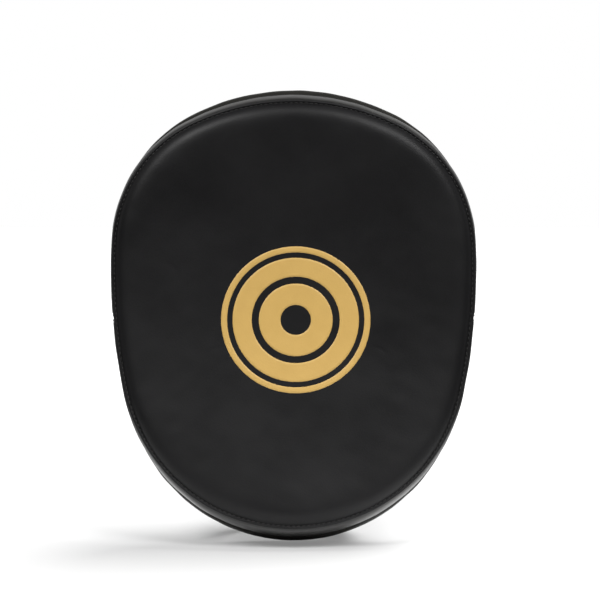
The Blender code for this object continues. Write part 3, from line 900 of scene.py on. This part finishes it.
def hood_swell(part, angle, along):
    """How far the hood's leather stands out from its plain arch: puffed panels between stitched seams."""
    arc = angle * HOOD["arc"]
    swell = 0.35 * waves(arc, along, 20.0, 51) + 0.12 * waves(arc, along, 6.5, 52)
    for seam in HOOD_SEAMS:
        swell = swell - ridge((angle - seam) * HOOD["arc"], 1.1, 1.1)
        swell = swell + ridge((np.abs(angle - seam) * HOOD["arc"] - 5.0), 3.5, 0.45)
    swell = swell - ridge(along - HOOD_HEM, 0.9, 0.7)
    swell = swell + ridge(along - 11.0, 4.0, 0.4)
    foot = np.minimum(angle, math.pi - angle) * HOOD["arc"]
    return swell - ridge(foot - HOOD_FOOT, 0.9, 0.6) * (part < 0.93)


def hood():
    nodes = ("finger_hood", "hood_lining", "hood_binding")
    stitches = arch_cover("hood", HOOD, (90, 150), hood_swell, 0.06, nodes, (40, 60), 5.2, fill=0.7)
    places = [seam + beside * BESIDE_SEAM / HOOD["arc"] for seam in HOOD_SEAMS for beside in (-1.0, 1.0)]
    for number, angle in enumerate(places):
        stitches(f"seam_stitching_{number + 1}", None, angle, 0.12, slice(6, 74), WIDE_STITCH)
    hem = HOOD_HEM / (HOOD["length"] + HOOD["grow"])
    stitches("hem_stitching", hem, None, 0.1, slice(3, -3), WIDE_STITCH, node="hood_topstitch")
    foot = HOOD_FOOT / HOOD["arc"]
    for side, angle in (("left", foot), ("right", math.pi - foot)):
        stitches(f"foot_stitching_{side}", None, angle, 0.1, slice(4, 72), WIDE_STITCH)
    welt_round("hood_foot_welt", HOOD)
    eyelets()


# Section of an eyelet from its outer edge into its barrel, as (radius, height).
EYELET_PROFILE = (
    (4.0, -1.0), (3.95, -0.3), (3.7, 0.15), (3.3, 0.42), (2.9, 0.5), (2.55, 0.38), (2.35, 0.1), (2.25, -0.4),
    (2.25, -1.6),
)
THROAT_PROFILE = ((2.5, -0.75), (1.2, -0.75))
EYELET_PLACES = (188.0, 188.0, 206.0, 206.0)


def turned(middle, normal, profile):
    """Rings of (radius, height) in millimetres, turned about a normal that stands square to x."""
    side = np.array((1.0, 0.0, 0.0))
    along = np.cross(normal, side)
    angle = np.arange(40) * math.tau / 40
    rows = []
    for radius, height in profile:
        ring = side * (np.cos(angle) * radius)[:, None] + along * (np.sin(angle) * radius)[:, None]
        rows.append(middle + (ring + normal * height) * MM)
    return np.array(rows)


def eyelets():
    """Rolled metal vents in the hood's crown, each with its barrel and a near-black disc in its throat that is
    painted shade.
    """
    slope = math.atan((HOOD["depth"] - HOOD["tip_depth"]) / HOOD["length"])
    for number, up in enumerate(EYELET_PLACES, start=1):
        node = f"vent_eyelet_{number}"
        low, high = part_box(node)
        middle = np.array((low + high) * 0.5)
        turn = bend_angle(up) + slope
        normal = np.array((0.0, math.cos(turn), math.sin(turn)))
        grid_object(node + "_turned", turned(middle, normal, EYELET_PROFILE), "steel", node=node)
        # The throat is closed by a near-black disc, painted shade inside the vent.
        throat = turned(middle, normal, THROAT_PROFILE)
        grid_object(f"vent_throat_{number}", throat, "throat_shade", closed=True)


THUMB_HEM = 5.0


def thumb_swell(part, angle, along):
    """How far the thumb's sleeve stands out: two panels, a middle seam and a hem."""
    arc = angle * THUMB["arc"]
    swell = 0.25 * waves(arc, along, 14.0, 61) + 0.08 * waves(arc, along, 5.0, 62)
    swell = swell - ridge((angle - 0.5 * math.pi) * THUMB["arc"], 0.8, 0.8)
    return swell - ridge(along - THUMB_HEM, 0.8, 0.5)


def thumb():
    nodes = ("thumb_stall", "thumb_lining", "thumb_binding")
    stitches = arch_cover("thumb", THUMB, (60, 80), thumb_swell, 0.12, nodes, (30, 40), 4.0)
    welt_round("thumb_foot_welt", THUMB)
    for number, angle in enumerate((0.5 * math.pi - 0.1, 0.5 * math.pi + 0.1)):
        stitches(f"seam_stitching_{number + 1}", None, angle, 0.1, slice(3, 48), CLOSE_STITCH)
    hem = THUMB_HEM / (THUMB["length"] + THUMB["grow"])
    stitches("hem_stitching", hem, None, 0.1, slice(3, -3), CLOSE_STITCH)


# Palm ball and wrist cushion


PALM_BALL = {"centre": (0.0, 108.0), "half": (25.2, 23.2), "height": 12.9, "power": 2.0}
WRIST_CUSHION = {"centre": (0.0, 50.0), "half": (33.0, 29.0), "height": 6.9, "power": 4.0}
PILLOW_FOOT = 0.5
PILLOW_AROUND = 140
QUILT = 17.0


def pillow_ring(design, turn, scale=1.0, past=0.0):
    """Superellipse round a pillow's middle, at a share of its size or some millimetres past its edge."""
    power = 2.0 / design["power"]
    x = (design["half"][0] + past) * scale * np.sign(np.cos(turn)) * np.abs(np.cos(turn)) ** power
    s = (design["half"][1] + past) * scale * np.sign(np.sin(turn)) * np.abs(np.sin(turn)) ** power
    return x, s


def on_back(design, x, s, height):
    return bend(x + design["centre"][0], s + design["centre"][1], BACK_T + height)


def pillow_grid(design, seams, rings=56):
    """Dome on the back cover: rings from the foot inward, with seams pressed in and a flat sewn foot."""
    scales = 1.0 - np.linspace(0.0, 1.0, rings) ** 1.35
    scales[-1] = 0.004
    turns = np.arange(PILLOW_AROUND) * math.tau / PILLOW_AROUND
    scale, turn = np.meshgrid(scales, turns, indexing="ij")
    x, s = pillow_ring(design, turn, scale)
    height = PILLOW_FOOT + (design["height"] - PILLOW_FOOT) * (1.0 - scale**5) ** 0.62
    height = height + seams(x, s) * (1.0 - scale**6)
    foot = on_back(design, x[0], s[0], 0.02)
    return np.concatenate((foot[None], on_back(design, x, s, height)))


def ball_seams(x, s):
    return 0.3 * waves(x, s, 14.0, 71) - ridge(x, 0.8, 0.8) - ridge(s - 0.004 * x * x, 0.8, 0.8)


def quilt(x, s):
    """Crossed diagonal stitch lines with soft squares between them."""
    first = np.abs(np.mod(x + s + QUILT * 0.5, QUILT) - QUILT * 0.5) / math.sqrt(2.0)
    second = np.abs(np.mod(x - s + QUILT * 0.5, QUILT) - QUILT * 0.5) / math.sqrt(2.0)
    groove = np.exp(-first / 1.5) + np.exp(-second / 1.5)
    return 0.25 * waves(x, s, 12.0, 73) - 1.5 * np.clip(groove, 0.0, 1.25)


def pillows():
    for name, node, design, seams, kind, fill in (
        ("palm_ball_leather", "palm_ball_cover", PALM_BALL, ball_seams, "back", 0.8),
        ("wrist_cushion_quilt", "wrist_cushion", WRIST_CUSHION, quilt, "mesh", 0.6),
    ):
        grid_object(name, pillow_grid(design, seams), kind, closed=True, node=node, fill=fill)
    turns = np.arange(PILLOW_AROUND) * math.tau / PILLOW_AROUND
    for name, design in (("palm_ball_welt", PALM_BALL), ("wrist_cushion_welt", WRIST_CUSHION)):
        x, s = pillow_ring(design, turns, past=0.5)
        path = on_back(design, x, s, 0.6)
        sweep(name, path, on_back(design, x, s, 2.0) - path, oval(1.9, 1.5, 8), "edge", closed=True)


# The wrist cuff and its strap. Places on it are an angle in degrees (0 at +X, 90 at the crest, 180 at -X),
# a up along the cuff and a level outside its tunnel.


CUFF_UP = 44.0
CUFF_TOP = 34.0
CUFF_LOW = (-31.0, -60.0)
CUFF_CORNER = (33.5, 44.0)
TUNNEL = (36.0, 41.0)
CUFF_SEAT = 0.5
WING_END = 56.0
WING_THICKNESS = 5.0
STRAP_MIDDLE = 6.0
STRAP_HALF_WIDTH = 22.0
PATCH_HALF_WIDTH = 20.0
PATCH_LEVELS = (5.3, 6.5)
HOOK_LEVELS = (6.8, 8.0)
STRAP_LEVELS = (8.3, 10.3)
ANCHOR_LEVELS = (PATCH_LEVELS[0], STRAP_LEVELS[1] + 0.25)
BADGE_LEVELS = (10.6, 11.8)
LOOP_PATCH = (16.0, 52.0)
HOOK_PATCH = (18.0, 47.0)
TAIL = (11.0, 54.0)
STRAP = (51.0, 131.0)
ANCHOR = (128.2, 158.0)
BADGE = (78.0, 104.0)
PEEL_BEND = (47.9, 50.9)
SWING_BEND = (125.1, 128.1)
CUFF_TILT = bend_angle(CUFF_UP)
ALONG = np.array((0.0, -math.sin(CUFF_TILT), math.cos(CUFF_TILT)))
OUT = np.array((0.0, math.cos(CUFF_TILT), math.sin(CUFF_TILT)))
CUFF_BASE = bend(0.0, CUFF_UP, BACK_T)


def cuff(angle, a, level):
    turn = np.radians(angle)
    x = (TUNNEL[0] + level) * np.cos(turn)
    h = CUFF_SEAT + (TUNNEL[1] + level) * np.sin(turn)
    x, h, a = np.broadcast_arrays(x, h, a)
    side = np.stack((x, np.zeros(x.shape), np.zeros(x.shape)), axis=-1)
    return CUFF_BASE + (side + ALONG * a[..., None] + OUT * h[..., None]) * MM


def cuff_line(angle, a, level, higher):
    """Line on the cuff and its up directions, which point to a higher level."""
    path = cuff(angle, a, level)
    return path, cuff(angle, a, higher) - path


def wing_low(angle, level):
    """Lower edge of a wing: its cut line, or the floor where the cut would pass under it."""
    from_side = np.minimum(angle, 180.0 - angle)
    part = np.clip((from_side - CUFF_CORNER[0]) / (CUFF_CORNER[1] - CUFF_CORNER[0]), 0.0, 1.0)
    cut = CUFF_LOW[0] + (CUFF_LOW[1] - CUFF_LOW[0]) * part**3
    h = CUFF_SEAT + (TUNNEL[1] + level) * np.sin(np.radians(angle))
    floor = -(CUFF_BASE[2] / MM + OUT[2] * h) / ALONG[2]
    return np.maximum(cut, floor)


def spaced(start, end, step, edge=(0.0, 0.12, 0.3, 0.55, 0.85, 1.2)):
    """Places from start to end, closer together near both ends."""
    length = abs(end - start)
    inner = max(2, int(round((length - 2.0 * edge[-1]) / step)))
    middle = np.linspace(edge[-1], length - edge[-1], inner + 1)[1:-1]
    places = np.concatenate((edge, middle, [length - value for value in reversed(edge)]))
    return start + math.copysign(1.0, end - start) * places


def rounding(distance, radius):
    """Share of full thickness at that distance from a rounded edge."""
    part = np.clip(distance / radius, 0.0, 1.0)
    return np.sqrt(1.0 - (1.0 - part) ** 2)


def edge_distance(u, v, u_range, v_range, scale):
    """Distance to the nearest of four edges; scale turns u into millimetres."""
    across = np.minimum(np.abs(u - u_range[0]), np.abs(u_range[1] - u)) * scale
    along = np.minimum(np.abs(v - v_range[0]), np.abs(v_range[1] - v))
    return np.minimum(across, along)


WING_ARC = 0.76
WING_PINCH = 2.0
WING_EDGE = (0.0, 0.2, 0.5, 1.0, 1.7, 2.6, 3.8)
WING_CHANNELS = (-26.5, 30.0)
WING_SEEDS = {"right": 81, "left": 82}


def sided(side, angle):
    """Angles on a wing, which are given for the right one."""
    return angle if side == "right" else 180.0 - angle


def wing_surface(side, outer):
    """One surface of a wing: pinched at its sewn edges, its padding held down by stitched channels."""
    angles = spaced(0.0, WING_END, 0.9, edge=WING_EDGE)
    parts = np.linspace(0.0, 1.0, 110)
    parts = parts - 0.09 * np.sin(parts * math.tau) / math.tau * 2.0
    angle, part = np.meshgrid(angles, parts, indexing="ij")
    shown = sided(side, angle)
    low = wing_low(shown, WING_THICKNESS if outer else 0.0)
    a = low + (CUFF_TOP - low) * part
    from_end = (WING_END - angle) * WING_ARC
    pinch = 1.0 - rounding(np.minimum(CUFF_TOP - a, from_end + 1.2), 5.0)
    channels = sum(ridge(a - where, 1.0, 0.75) for where in WING_CHANNELS)
    channels = channels * smooth((from_end - 3.0) / 3.0) * smooth((angle - 3.0) / 4.0)
    puff = 0.3 * waves(angle * WING_ARC, a, 11.0, WING_SEEDS[side]) + 0.3
    if outer:
        puff = puff * smooth((a - low) / 6.0) * (1.0 - pinch)
        level = np.minimum(WING_THICKNESS - WING_PINCH * pinch - channels + puff, WING_THICKNESS + 0.1)
    else:
        level = WING_PINCH * pinch + 0.5 * channels + 0.1 * puff
    return cuff(shown, a, level)


def wings():
    for side in ("right", "left"):
        surfaces = wing_surface(side, True), wing_surface(side, False)
        slab(f"cuff_wing_{side}_leather", *surfaces, "back", node="cuff_wing_" + side, fill=0.6)
        low = float(wing_low(np.array(sided(side, WING_END)), 2.5))
        a = np.linspace(low + 1.6, CUFF_TOP + 0.6, 70)
        line = cuff_line(sided(side, WING_END + 0.4), a, 2.5, 4.0)
        section = oval(4.6, 3.8, 16, power=3.5)
        sweep(f"cuff_edge_tape_{side}", *line, section, "binding", node="cuff_binding_" + side)
        top = sided(side, np.linspace(4.0, WING_END - 0.5, 50))
        line = cuff_line(top, CUFF_TOP + 0.3, 2.5, 4.0)
        sweep(f"cuff_top_tape_{side}", *line, oval(3.8, 4.2, 16, power=3.5), "binding")
        line = cuff_line(sided(side, WING_END - 5.0), a[3:-3], 4.85, 8.0)
        stitch_row(f"cuff_edge_stitching_{side}", *line, **WIDE_STITCH)
        run = sided(side, np.linspace(6.0, WING_END - 7.0, 60))
        for number, where in enumerate(WING_CHANNELS):
            line = cuff_line(run, where, 4.35, 8.0)
            stitch_row(f"cuff_channel_{side}_{number + 1}", *line, **WIDE_STITCH)
        foot_of_wing(side)


def foot_of_wing(side):
    """Cord in the seam where a wing is sewn to the back cover."""
    path = cuff(sided(side, 0.6), np.linspace(-30.0, CUFF_TOP - 0.5, 60), 5.6)
    sweep(f"cuff_foot_welt_{side}", path, np.tile(OUT, (60, 1)), oval(1.9, 1.6, 8), "edge")


SLAB_STEP = 0.9
SLAB_ROUNDING = 0.9
RIBS = 0.16
RIB_PITCH = 1.6


def arc_per_degree(level):
    """Millimetres round the cuff for one degree at that level."""
    return (TUNNEL[0] + level + 3.0) * math.pi / 180.0


def reach_of(half):
    return (STRAP_MIDDLE - half, STRAP_MIDDLE + half)


def arc_slab(name, angles, half_width, levels, kind, ribs=0.0, **options):
    """Flat-lying piece curved round the cuff, with rounded edges."""
    scale = arc_per_degree(0.5 * sum(levels))
    reach = reach_of(half_width)
    u = spaced(angles[0] * scale, angles[1] * scale, SLAB_STEP) / scale
    v = spaced(*reach, SLAB_STEP * (0.45 if ribs else 1.0))
    angle, a = np.meshgrid(u, v, indexing="ij")
    edge = edge_distance(angle, a, angles, reach, scale)
    half = 0.5 * (levels[1] - levels[0])
    middle = levels[0] + half
    share = rounding(edge + 0.02, SLAB_ROUNDING)
    inside = smooth(edge / 2.0)
    rib = ribs * (0.5 + 0.5 * np.cos(a * math.tau / RIB_PITCH)) * inside
    cross = 0.5 * ribs * np.cos(angle * scale * math.tau / (RIB_PITCH * 1.6) + a * 2.0) * inside
    uneven = 0.06 * waves(angle * scale, a, 8.0, len(name))
    outer = cuff(angle, a, middle + half * share - ribs + rib + cross + uneven * share)
    inner = cuff(angle, a, middle - half * share + 0.5 * ribs - 0.5 * rib)
    return slab(name, outer, inner, kind, **options)


CURL_CORNERS = 3
CURL_RADIUS = 0.07


def curls(name, angles, level, sign, kind, pitch, height, seed, hooked=False, **options):
    """Field of small nylon hooks or loops standing on a patch, outward or inward by sign."""
    chance = random.Random(seed)
    scale = arc_per_degree(level)
    stations = 6 if hooked else 7
    sweep_angle = math.radians(200.0 if hooked else 180.0)
    points = []
    faces = []
    for u_index in range(int((angles[1] - angles[0]) * scale / pitch) - 1):
        for v_index in range(int(2.0 * PATCH_HALF_WIDTH / pitch) - 1):
            u = angles[0] + (u_index + 1 + chance.uniform(-0.25, 0.25)) * pitch / scale
            a = STRAP_MIDDLE - PATCH_HALF_WIDTH + (v_index + 1 + chance.uniform(-0.25, 0.25)) * pitch
            base, up = cuff_line(np.array(u), np.array(a), level, level + sign)
            up = up / np.linalg.norm(up)
            heading = chance.choice((0.0, math.pi)) if hooked else chance.uniform(0.0, math.tau)
            direction = ALONG * math.cos(heading) + np.cross(ALONG, up) * math.sin(heading)
            side = np.cross(direction, up)
            reach = height * chance.uniform(0.8, 1.1)
            first = len(points)
            for station in range(stations):
                turn = sweep_angle * station / (stations - 1)
                forward = direction * (1.0 - math.cos(turn)) * 0.32 * reach
                place = base + (forward + up * math.sin(turn) * reach * 0.75) * MM
                if hooked and station > 0:
                    place = place + up * 0.25 * reach * MM
                for corner in range(CURL_CORNERS):
                    spin = math.tau * corner / CURL_CORNERS
                    offset = side * math.cos(spin) + up * math.sin(spin)
                    points.append(place + offset * CURL_RADIUS * MM)
            faces += grid_faces(stations, CURL_CORNERS, wrap_columns=True, first=first)
            last = first + CURL_CORNERS * (stations - 1)
            faces += [tuple(range(start, start + CURL_CORNERS)) for start in (first, last)]
    mesh_object(name, np.array(points), faces, kind, **options)


def arc_stitches(name, corners, level, closed=True, **options):
    """Row of stitches on the strap through (angle, a) corners."""
    route = []
    ring = list(corners) + ([corners[0]] if closed else [])
    for (angle, a), (next_angle, next_a) in zip(ring, ring[1:]):
        length = math.hypot((next_angle - angle) * 0.85, next_a - a)
        for part in np.linspace(0.0, 1.0, max(3, int(length)), endpoint=False):
            route.append((angle + (next_angle - angle) * part, a + (next_a - a) * part))
    if not closed:
        route.append(ring[-1])
    route = np.array(route)
    line = cuff_line(route[:, 0], route[:, 1], level, level + 2.0)
    stitch_row(name, *line, closed=closed, radius=0.33, **options)


def bend_over(obj, start, end):
    """Bakes a strap's placement into its mesh. It works out the strap's places at both ends of the bend run but
    does not bend it.
    """
    a, b = cuff(start, STRAP_MIDDLE, STRAP_LEVELS[1]), cuff(end, STRAP_MIDDLE, STRAP_LEVELS[1])
    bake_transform(obj)


STITCH_HALF_WIDTH = 18.0
ANCHOR_BOX = (ANCHOR[0] + 3.5, ANCHOR[1] - 3.5)
TAIL_BOX = (TAIL[0] + 3.0, 46.0)
STRAP_BOX = (54.5, 74.0)


def straps():
    arc_slab("loop_patch_pile", LOOP_PATCH, PATCH_HALF_WIDTH, PATCH_LEVELS, "pile", node="loop_patch")
    curls("loop_patch_loops", LOOP_PATCH, PATCH_LEVELS[1] - 0.1, 1.0, "pile", 1.05, 0.55, 5)
    on_tail = {"body": "tail"}
    arc_slab("hook_patch_tape", HOOK_PATCH, PATCH_HALF_WIDTH, HOOK_LEVELS, "hooks", node="hook_patch", **on_tail)
    curls("hook_patch_hooks", HOOK_PATCH, HOOK_LEVELS[0] + 0.1, -1.0, "hooks", 1.5, 0.6, 6, True, **on_tail)
    woven = {"levels": STRAP_LEVELS, "kind": "webbing", "ribs": RIBS, "body": None}
    strap = arc_slab("wrist_strap_webbing", STRAP, STRAP_HALF_WIDTH, node="wrist_strap", **woven)
    bend_over(strap, SWING_BEND[1], SWING_BEND[0])
    tail = arc_slab("strap_tail_webbing", TAIL, STRAP_HALF_WIDTH - 0.35, node="strap_tail", **woven)
    bend_over(tail, PEEL_BEND[1], PEEL_BEND[0])
    woven = {"levels": ANCHOR_LEVELS, "kind": "webbing", "ribs": RIBS}
    arc_slab("strap_anchor_webbing", ANCHOR, STRAP_HALF_WIDTH + 0.3, node="strap_anchor", **woven)
    bottom, top = reach_of(STITCH_HALF_WIDTH)
    boxes = []
    for low, high in (ANCHOR_BOX, TAIL_BOX, STRAP_BOX):
        boxes.append(((low, bottom), (high, bottom), (high, top), (low, top)))
    box = boxes[0]
    level = STRAP_LEVELS[1] + 0.3
    arc_stitches("anchor_box_stitching", box, level, node="anchor_stitching")
    arc_stitches("anchor_cross_stitching_1", (box[0], box[2]), level, closed=False)
    arc_stitches("anchor_cross_stitching_2", (box[3], box[1]), level, closed=False)
    level = STRAP_LEVELS[1] + 0.05
    arc_stitches("tail_stitching", boxes[1], level, body="tail")
    arc_stitches("strap_end_stitching", boxes[2], level, body="strap")
    badge()


BADGE_HALF_WIDTH = 12.0
BADGE_STEP = 0.35
BADGE_RELIEF = 0.35
BADGE_BAR_PITCH = 4.2


def badge():
    """Rubber tab with a raised frame and three plain bars."""
    scale = arc_per_degree(BADGE_LEVELS[0])
    reach = reach_of(BADGE_HALF_WIDTH)
    u = spaced(BADGE[0] * scale, BADGE[1] * scale, BADGE_STEP) / scale
    v = spaced(*reach, BADGE_STEP)
    angle, a = np.meshgrid(u, v, indexing="ij")
    edge = edge_distance(angle, a, BADGE, reach, scale)
    share = rounding(edge + 0.02, 0.7)
    frame_line = smooth((edge - 1.3) / 0.25) * smooth((2.3 - edge) / 0.25)
    across = (angle - 0.5 * sum(BADGE)) * scale
    bars = np.zeros(angle.shape)
    for number in (-1, 0, 1):
        off = np.abs(a - STRAP_MIDDLE + 0.35 * across - BADGE_BAR_PITCH * number)
        bars = np.maximum(bars, smooth((1.1 - off) / 0.3))
    raised = np.maximum(frame_line, bars * smooth((edge - 3.4) / 0.4))
    outer = BADGE_LEVELS[1] - 0.75 * (1.0 - share) - BADGE_RELIEF + BADGE_RELIEF * raised
    inner = BADGE_LEVELS[0] - 0.25 + 0.3 * (1.0 - share)
    surfaces = cuff(angle, a, outer), cuff(angle, a, inner)
    slab("strap_badge_rubber", *surfaces, "rubber", node="strap_badge", body="strap")


def hidden_foams():
    """Foam layers that stay as they are, closed in by the leather."""
    for node in ("impact_foam", "shock_foam", "base_foam", "hood_padding", "palm_ball"):
        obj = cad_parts[node]
        obj.data.materials.clear()
        obj.data.materials.append(MAT["foam"])


# Studio


FLOOR_SIZE = 6.0
FLOOR_SEEN = 0.37
FLOOR_LEAST_GLOW = 0.22
FLOOR_GLOW = 0.75
FLOOR_NEAR = 0.85
FLOOR_FAR = 0.04
WHITE = (1.0, 1.0, 1.0, 1.0)
WORLD_FRONT = 0.03
WORLD_BEHIND = 0.9
WORLD_ABOVE = 0.15
KEY = 6.0
KEY_TRAVEL = (-0.42, -0.36, -0.83)
KEY_SPREAD = math.radians(48.0)
SOFTBOX = 22.5
SOFTBOX_SIZE = 0.6
SOFTBOX_PLACE = (0.76, -0.95, 1.15)
SOFTBOX_TARGET = (0.0, 0.0, 0.12)
CAMERA_DISTANCE = 1.19
CAMERA_UP = math.radians(4.0)


def show_camera(tree, seen, lighting, output):
    """Gives the camera one shader and all other rays another."""
    path = tree.nodes.new("ShaderNodeLightPath")
    choose = tree.nodes.new("ShaderNodeMixShader")
    tree.links.new(path.outputs["Is Camera Ray"], choose.inputs[0])
    tree.links.new(lighting.outputs[0], choose.inputs[1])
    tree.links.new(seen.outputs[0], choose.inputs[2])
    out = tree.nodes.new(output)
    tree.links.new(choose.outputs[0], out.inputs[0])


def stage_floor():
    """Floor that glows to a plain white away from the mitt and throws light up only near it."""
    material = bpy.data.materials.new("studio_floor")
    material.use_nodes = True
    tree = material.node_tree
    tree.nodes.clear()
    place = tree.nodes.new("ShaderNodeTexCoord")
    far = add_node(tree, "ShaderNodeVectorMath", operation="LENGTH")
    tree.links.new(place.outputs["Object"], far.inputs[0])
    distance = far.outputs["Value"]
    seen = add_node(tree, "ShaderNodeBsdfDiffuse", Color=(FLOOR_SEEN, FLOOR_SEEN, FLOOR_SEEN, 1.0))
    glow = tree.nodes.new("ShaderNodeEmission")
    strength = spread(tree, distance, 0.28, 0.9, FLOOR_LEAST_GLOW, FLOOR_GLOW)
    tree.links.new(strength, glow.inputs["Strength"])
    both = tree.nodes.new("ShaderNodeAddShader")
    tree.links.new(seen.outputs[0], both.inputs[0])
    tree.links.new(glow.outputs[0], both.inputs[1])
    bounce = tree.nodes.new("ShaderNodeBsdfDiffuse")
    tree.links.new(spread(tree, distance, 0.1, 0.34, FLOOR_NEAR, FLOOR_FAR), bounce.inputs["Color"])
    show_camera(tree, both, bounce, "ShaderNodeOutputMaterial")
    corners = [(-1.0, -1.0, 0.0), (1.0, -1.0, 0.0), (1.0, 1.0, 0.0), (-1.0, 1.0, 0.0)]
    floor = plain_mesh("studio_floor", np.array(corners) * FLOOR_SIZE, [(0, 1, 2, 3)], material)


def area_light(name, place, target, size, energy):
    data = bpy.data.lights.new(name, "AREA")
    data.shape = "RECTANGLE"
    data.size, data.size_y = size, size
    data.energy = energy
    obj = bpy.data.objects.new(name, data)
    bpy.context.scene.collection.objects.link(obj)
    obj.location = place
    obj.rotation_euler = (Vector(target) - Vector(place)).to_track_quat("-Z", "Y").to_euler()


def studio_world():
    """White to the camera; as light it is bright behind the mitt and dim in front and above."""
    world = bpy.data.worlds.new("studio")
    bpy.context.scene.world = world
    world.use_nodes = True
    tree = world.node_tree
    tree.nodes.clear()
    place = tree.nodes.new("ShaderNodeTexCoord")
    split = tree.nodes.new("ShaderNodeSeparateXYZ")
    tree.links.new(place.outputs["Generated"], split.inputs[0])
    behind = spread(tree, split.outputs["Y"], -0.1, 0.7, WORLD_FRONT, WORLD_BEHIND)
    above = spread(tree, split.outputs["Z"], 0.35, 0.85, 1.0, WORLD_ABOVE)
    light = add_node(tree, "ShaderNodeBackground", Color=WHITE)
    tree.links.new(product(tree, behind, above), light.inputs["Strength"])
    seen = add_node(tree, "ShaderNodeBackground", Color=WHITE, Strength=1.0)
    show_camera(tree, seen, light, "ShaderNodeOutputWorld")


def studio():
    scene = bpy.context.scene
    scene.view_settings.view_transform = "Standard"
    scene.view_settings.look = "None"
    studio_world()
    key = bpy.data.lights.new("key_sun", "SUN")
    key.energy = KEY
    key.angle = KEY_SPREAD
    sun = bpy.data.objects.new("key_sun", key)
    scene.collection.objects.link(sun)
    sun.visible_glossy = False
    sun.rotation_euler = Vector(KEY_TRAVEL).to_track_quat("-Z", "Y").to_euler()
    across, forward, up = SOFTBOX_PLACE
    for name, side in (("left_softbox", -1.0), ("right_softbox", 1.0)):
        area_light(name, (side * across, forward, up), SOFTBOX_TARGET, SOFTBOX_SIZE, SOFTBOX)


def camera():
    """The photo's view: from the front, a little above."""
    target = Vector(bend(0.0, 0.5 * PAD_HEIGHT, 0.0))
    data = bpy.data.cameras.new("photo_view")
    data.lens = 127.6
    data.sensor_width = 36.0
    data.shift_x = 0.0107
    data.shift_y = 0.0244
    data.clip_start = 0.01
    obj = bpy.data.objects.new("photo_view", data)
    bpy.context.scene.collection.objects.link(obj)
    away = Vector((0.0, -math.cos(CAMERA_UP), math.sin(CAMERA_UP)))
    obj.location = target + away * CAMERA_DISTANCE
    obj.rotation_euler = (-away).to_track_quat("-Z", "Y").to_euler()
    bpy.context.scene.camera = obj


face_cover()
print_rings()
sides()
back_panel()
hood()
thumb()
pillows()
wings()
straps()
hidden_foams()
stage_floor()
studio()
camera()
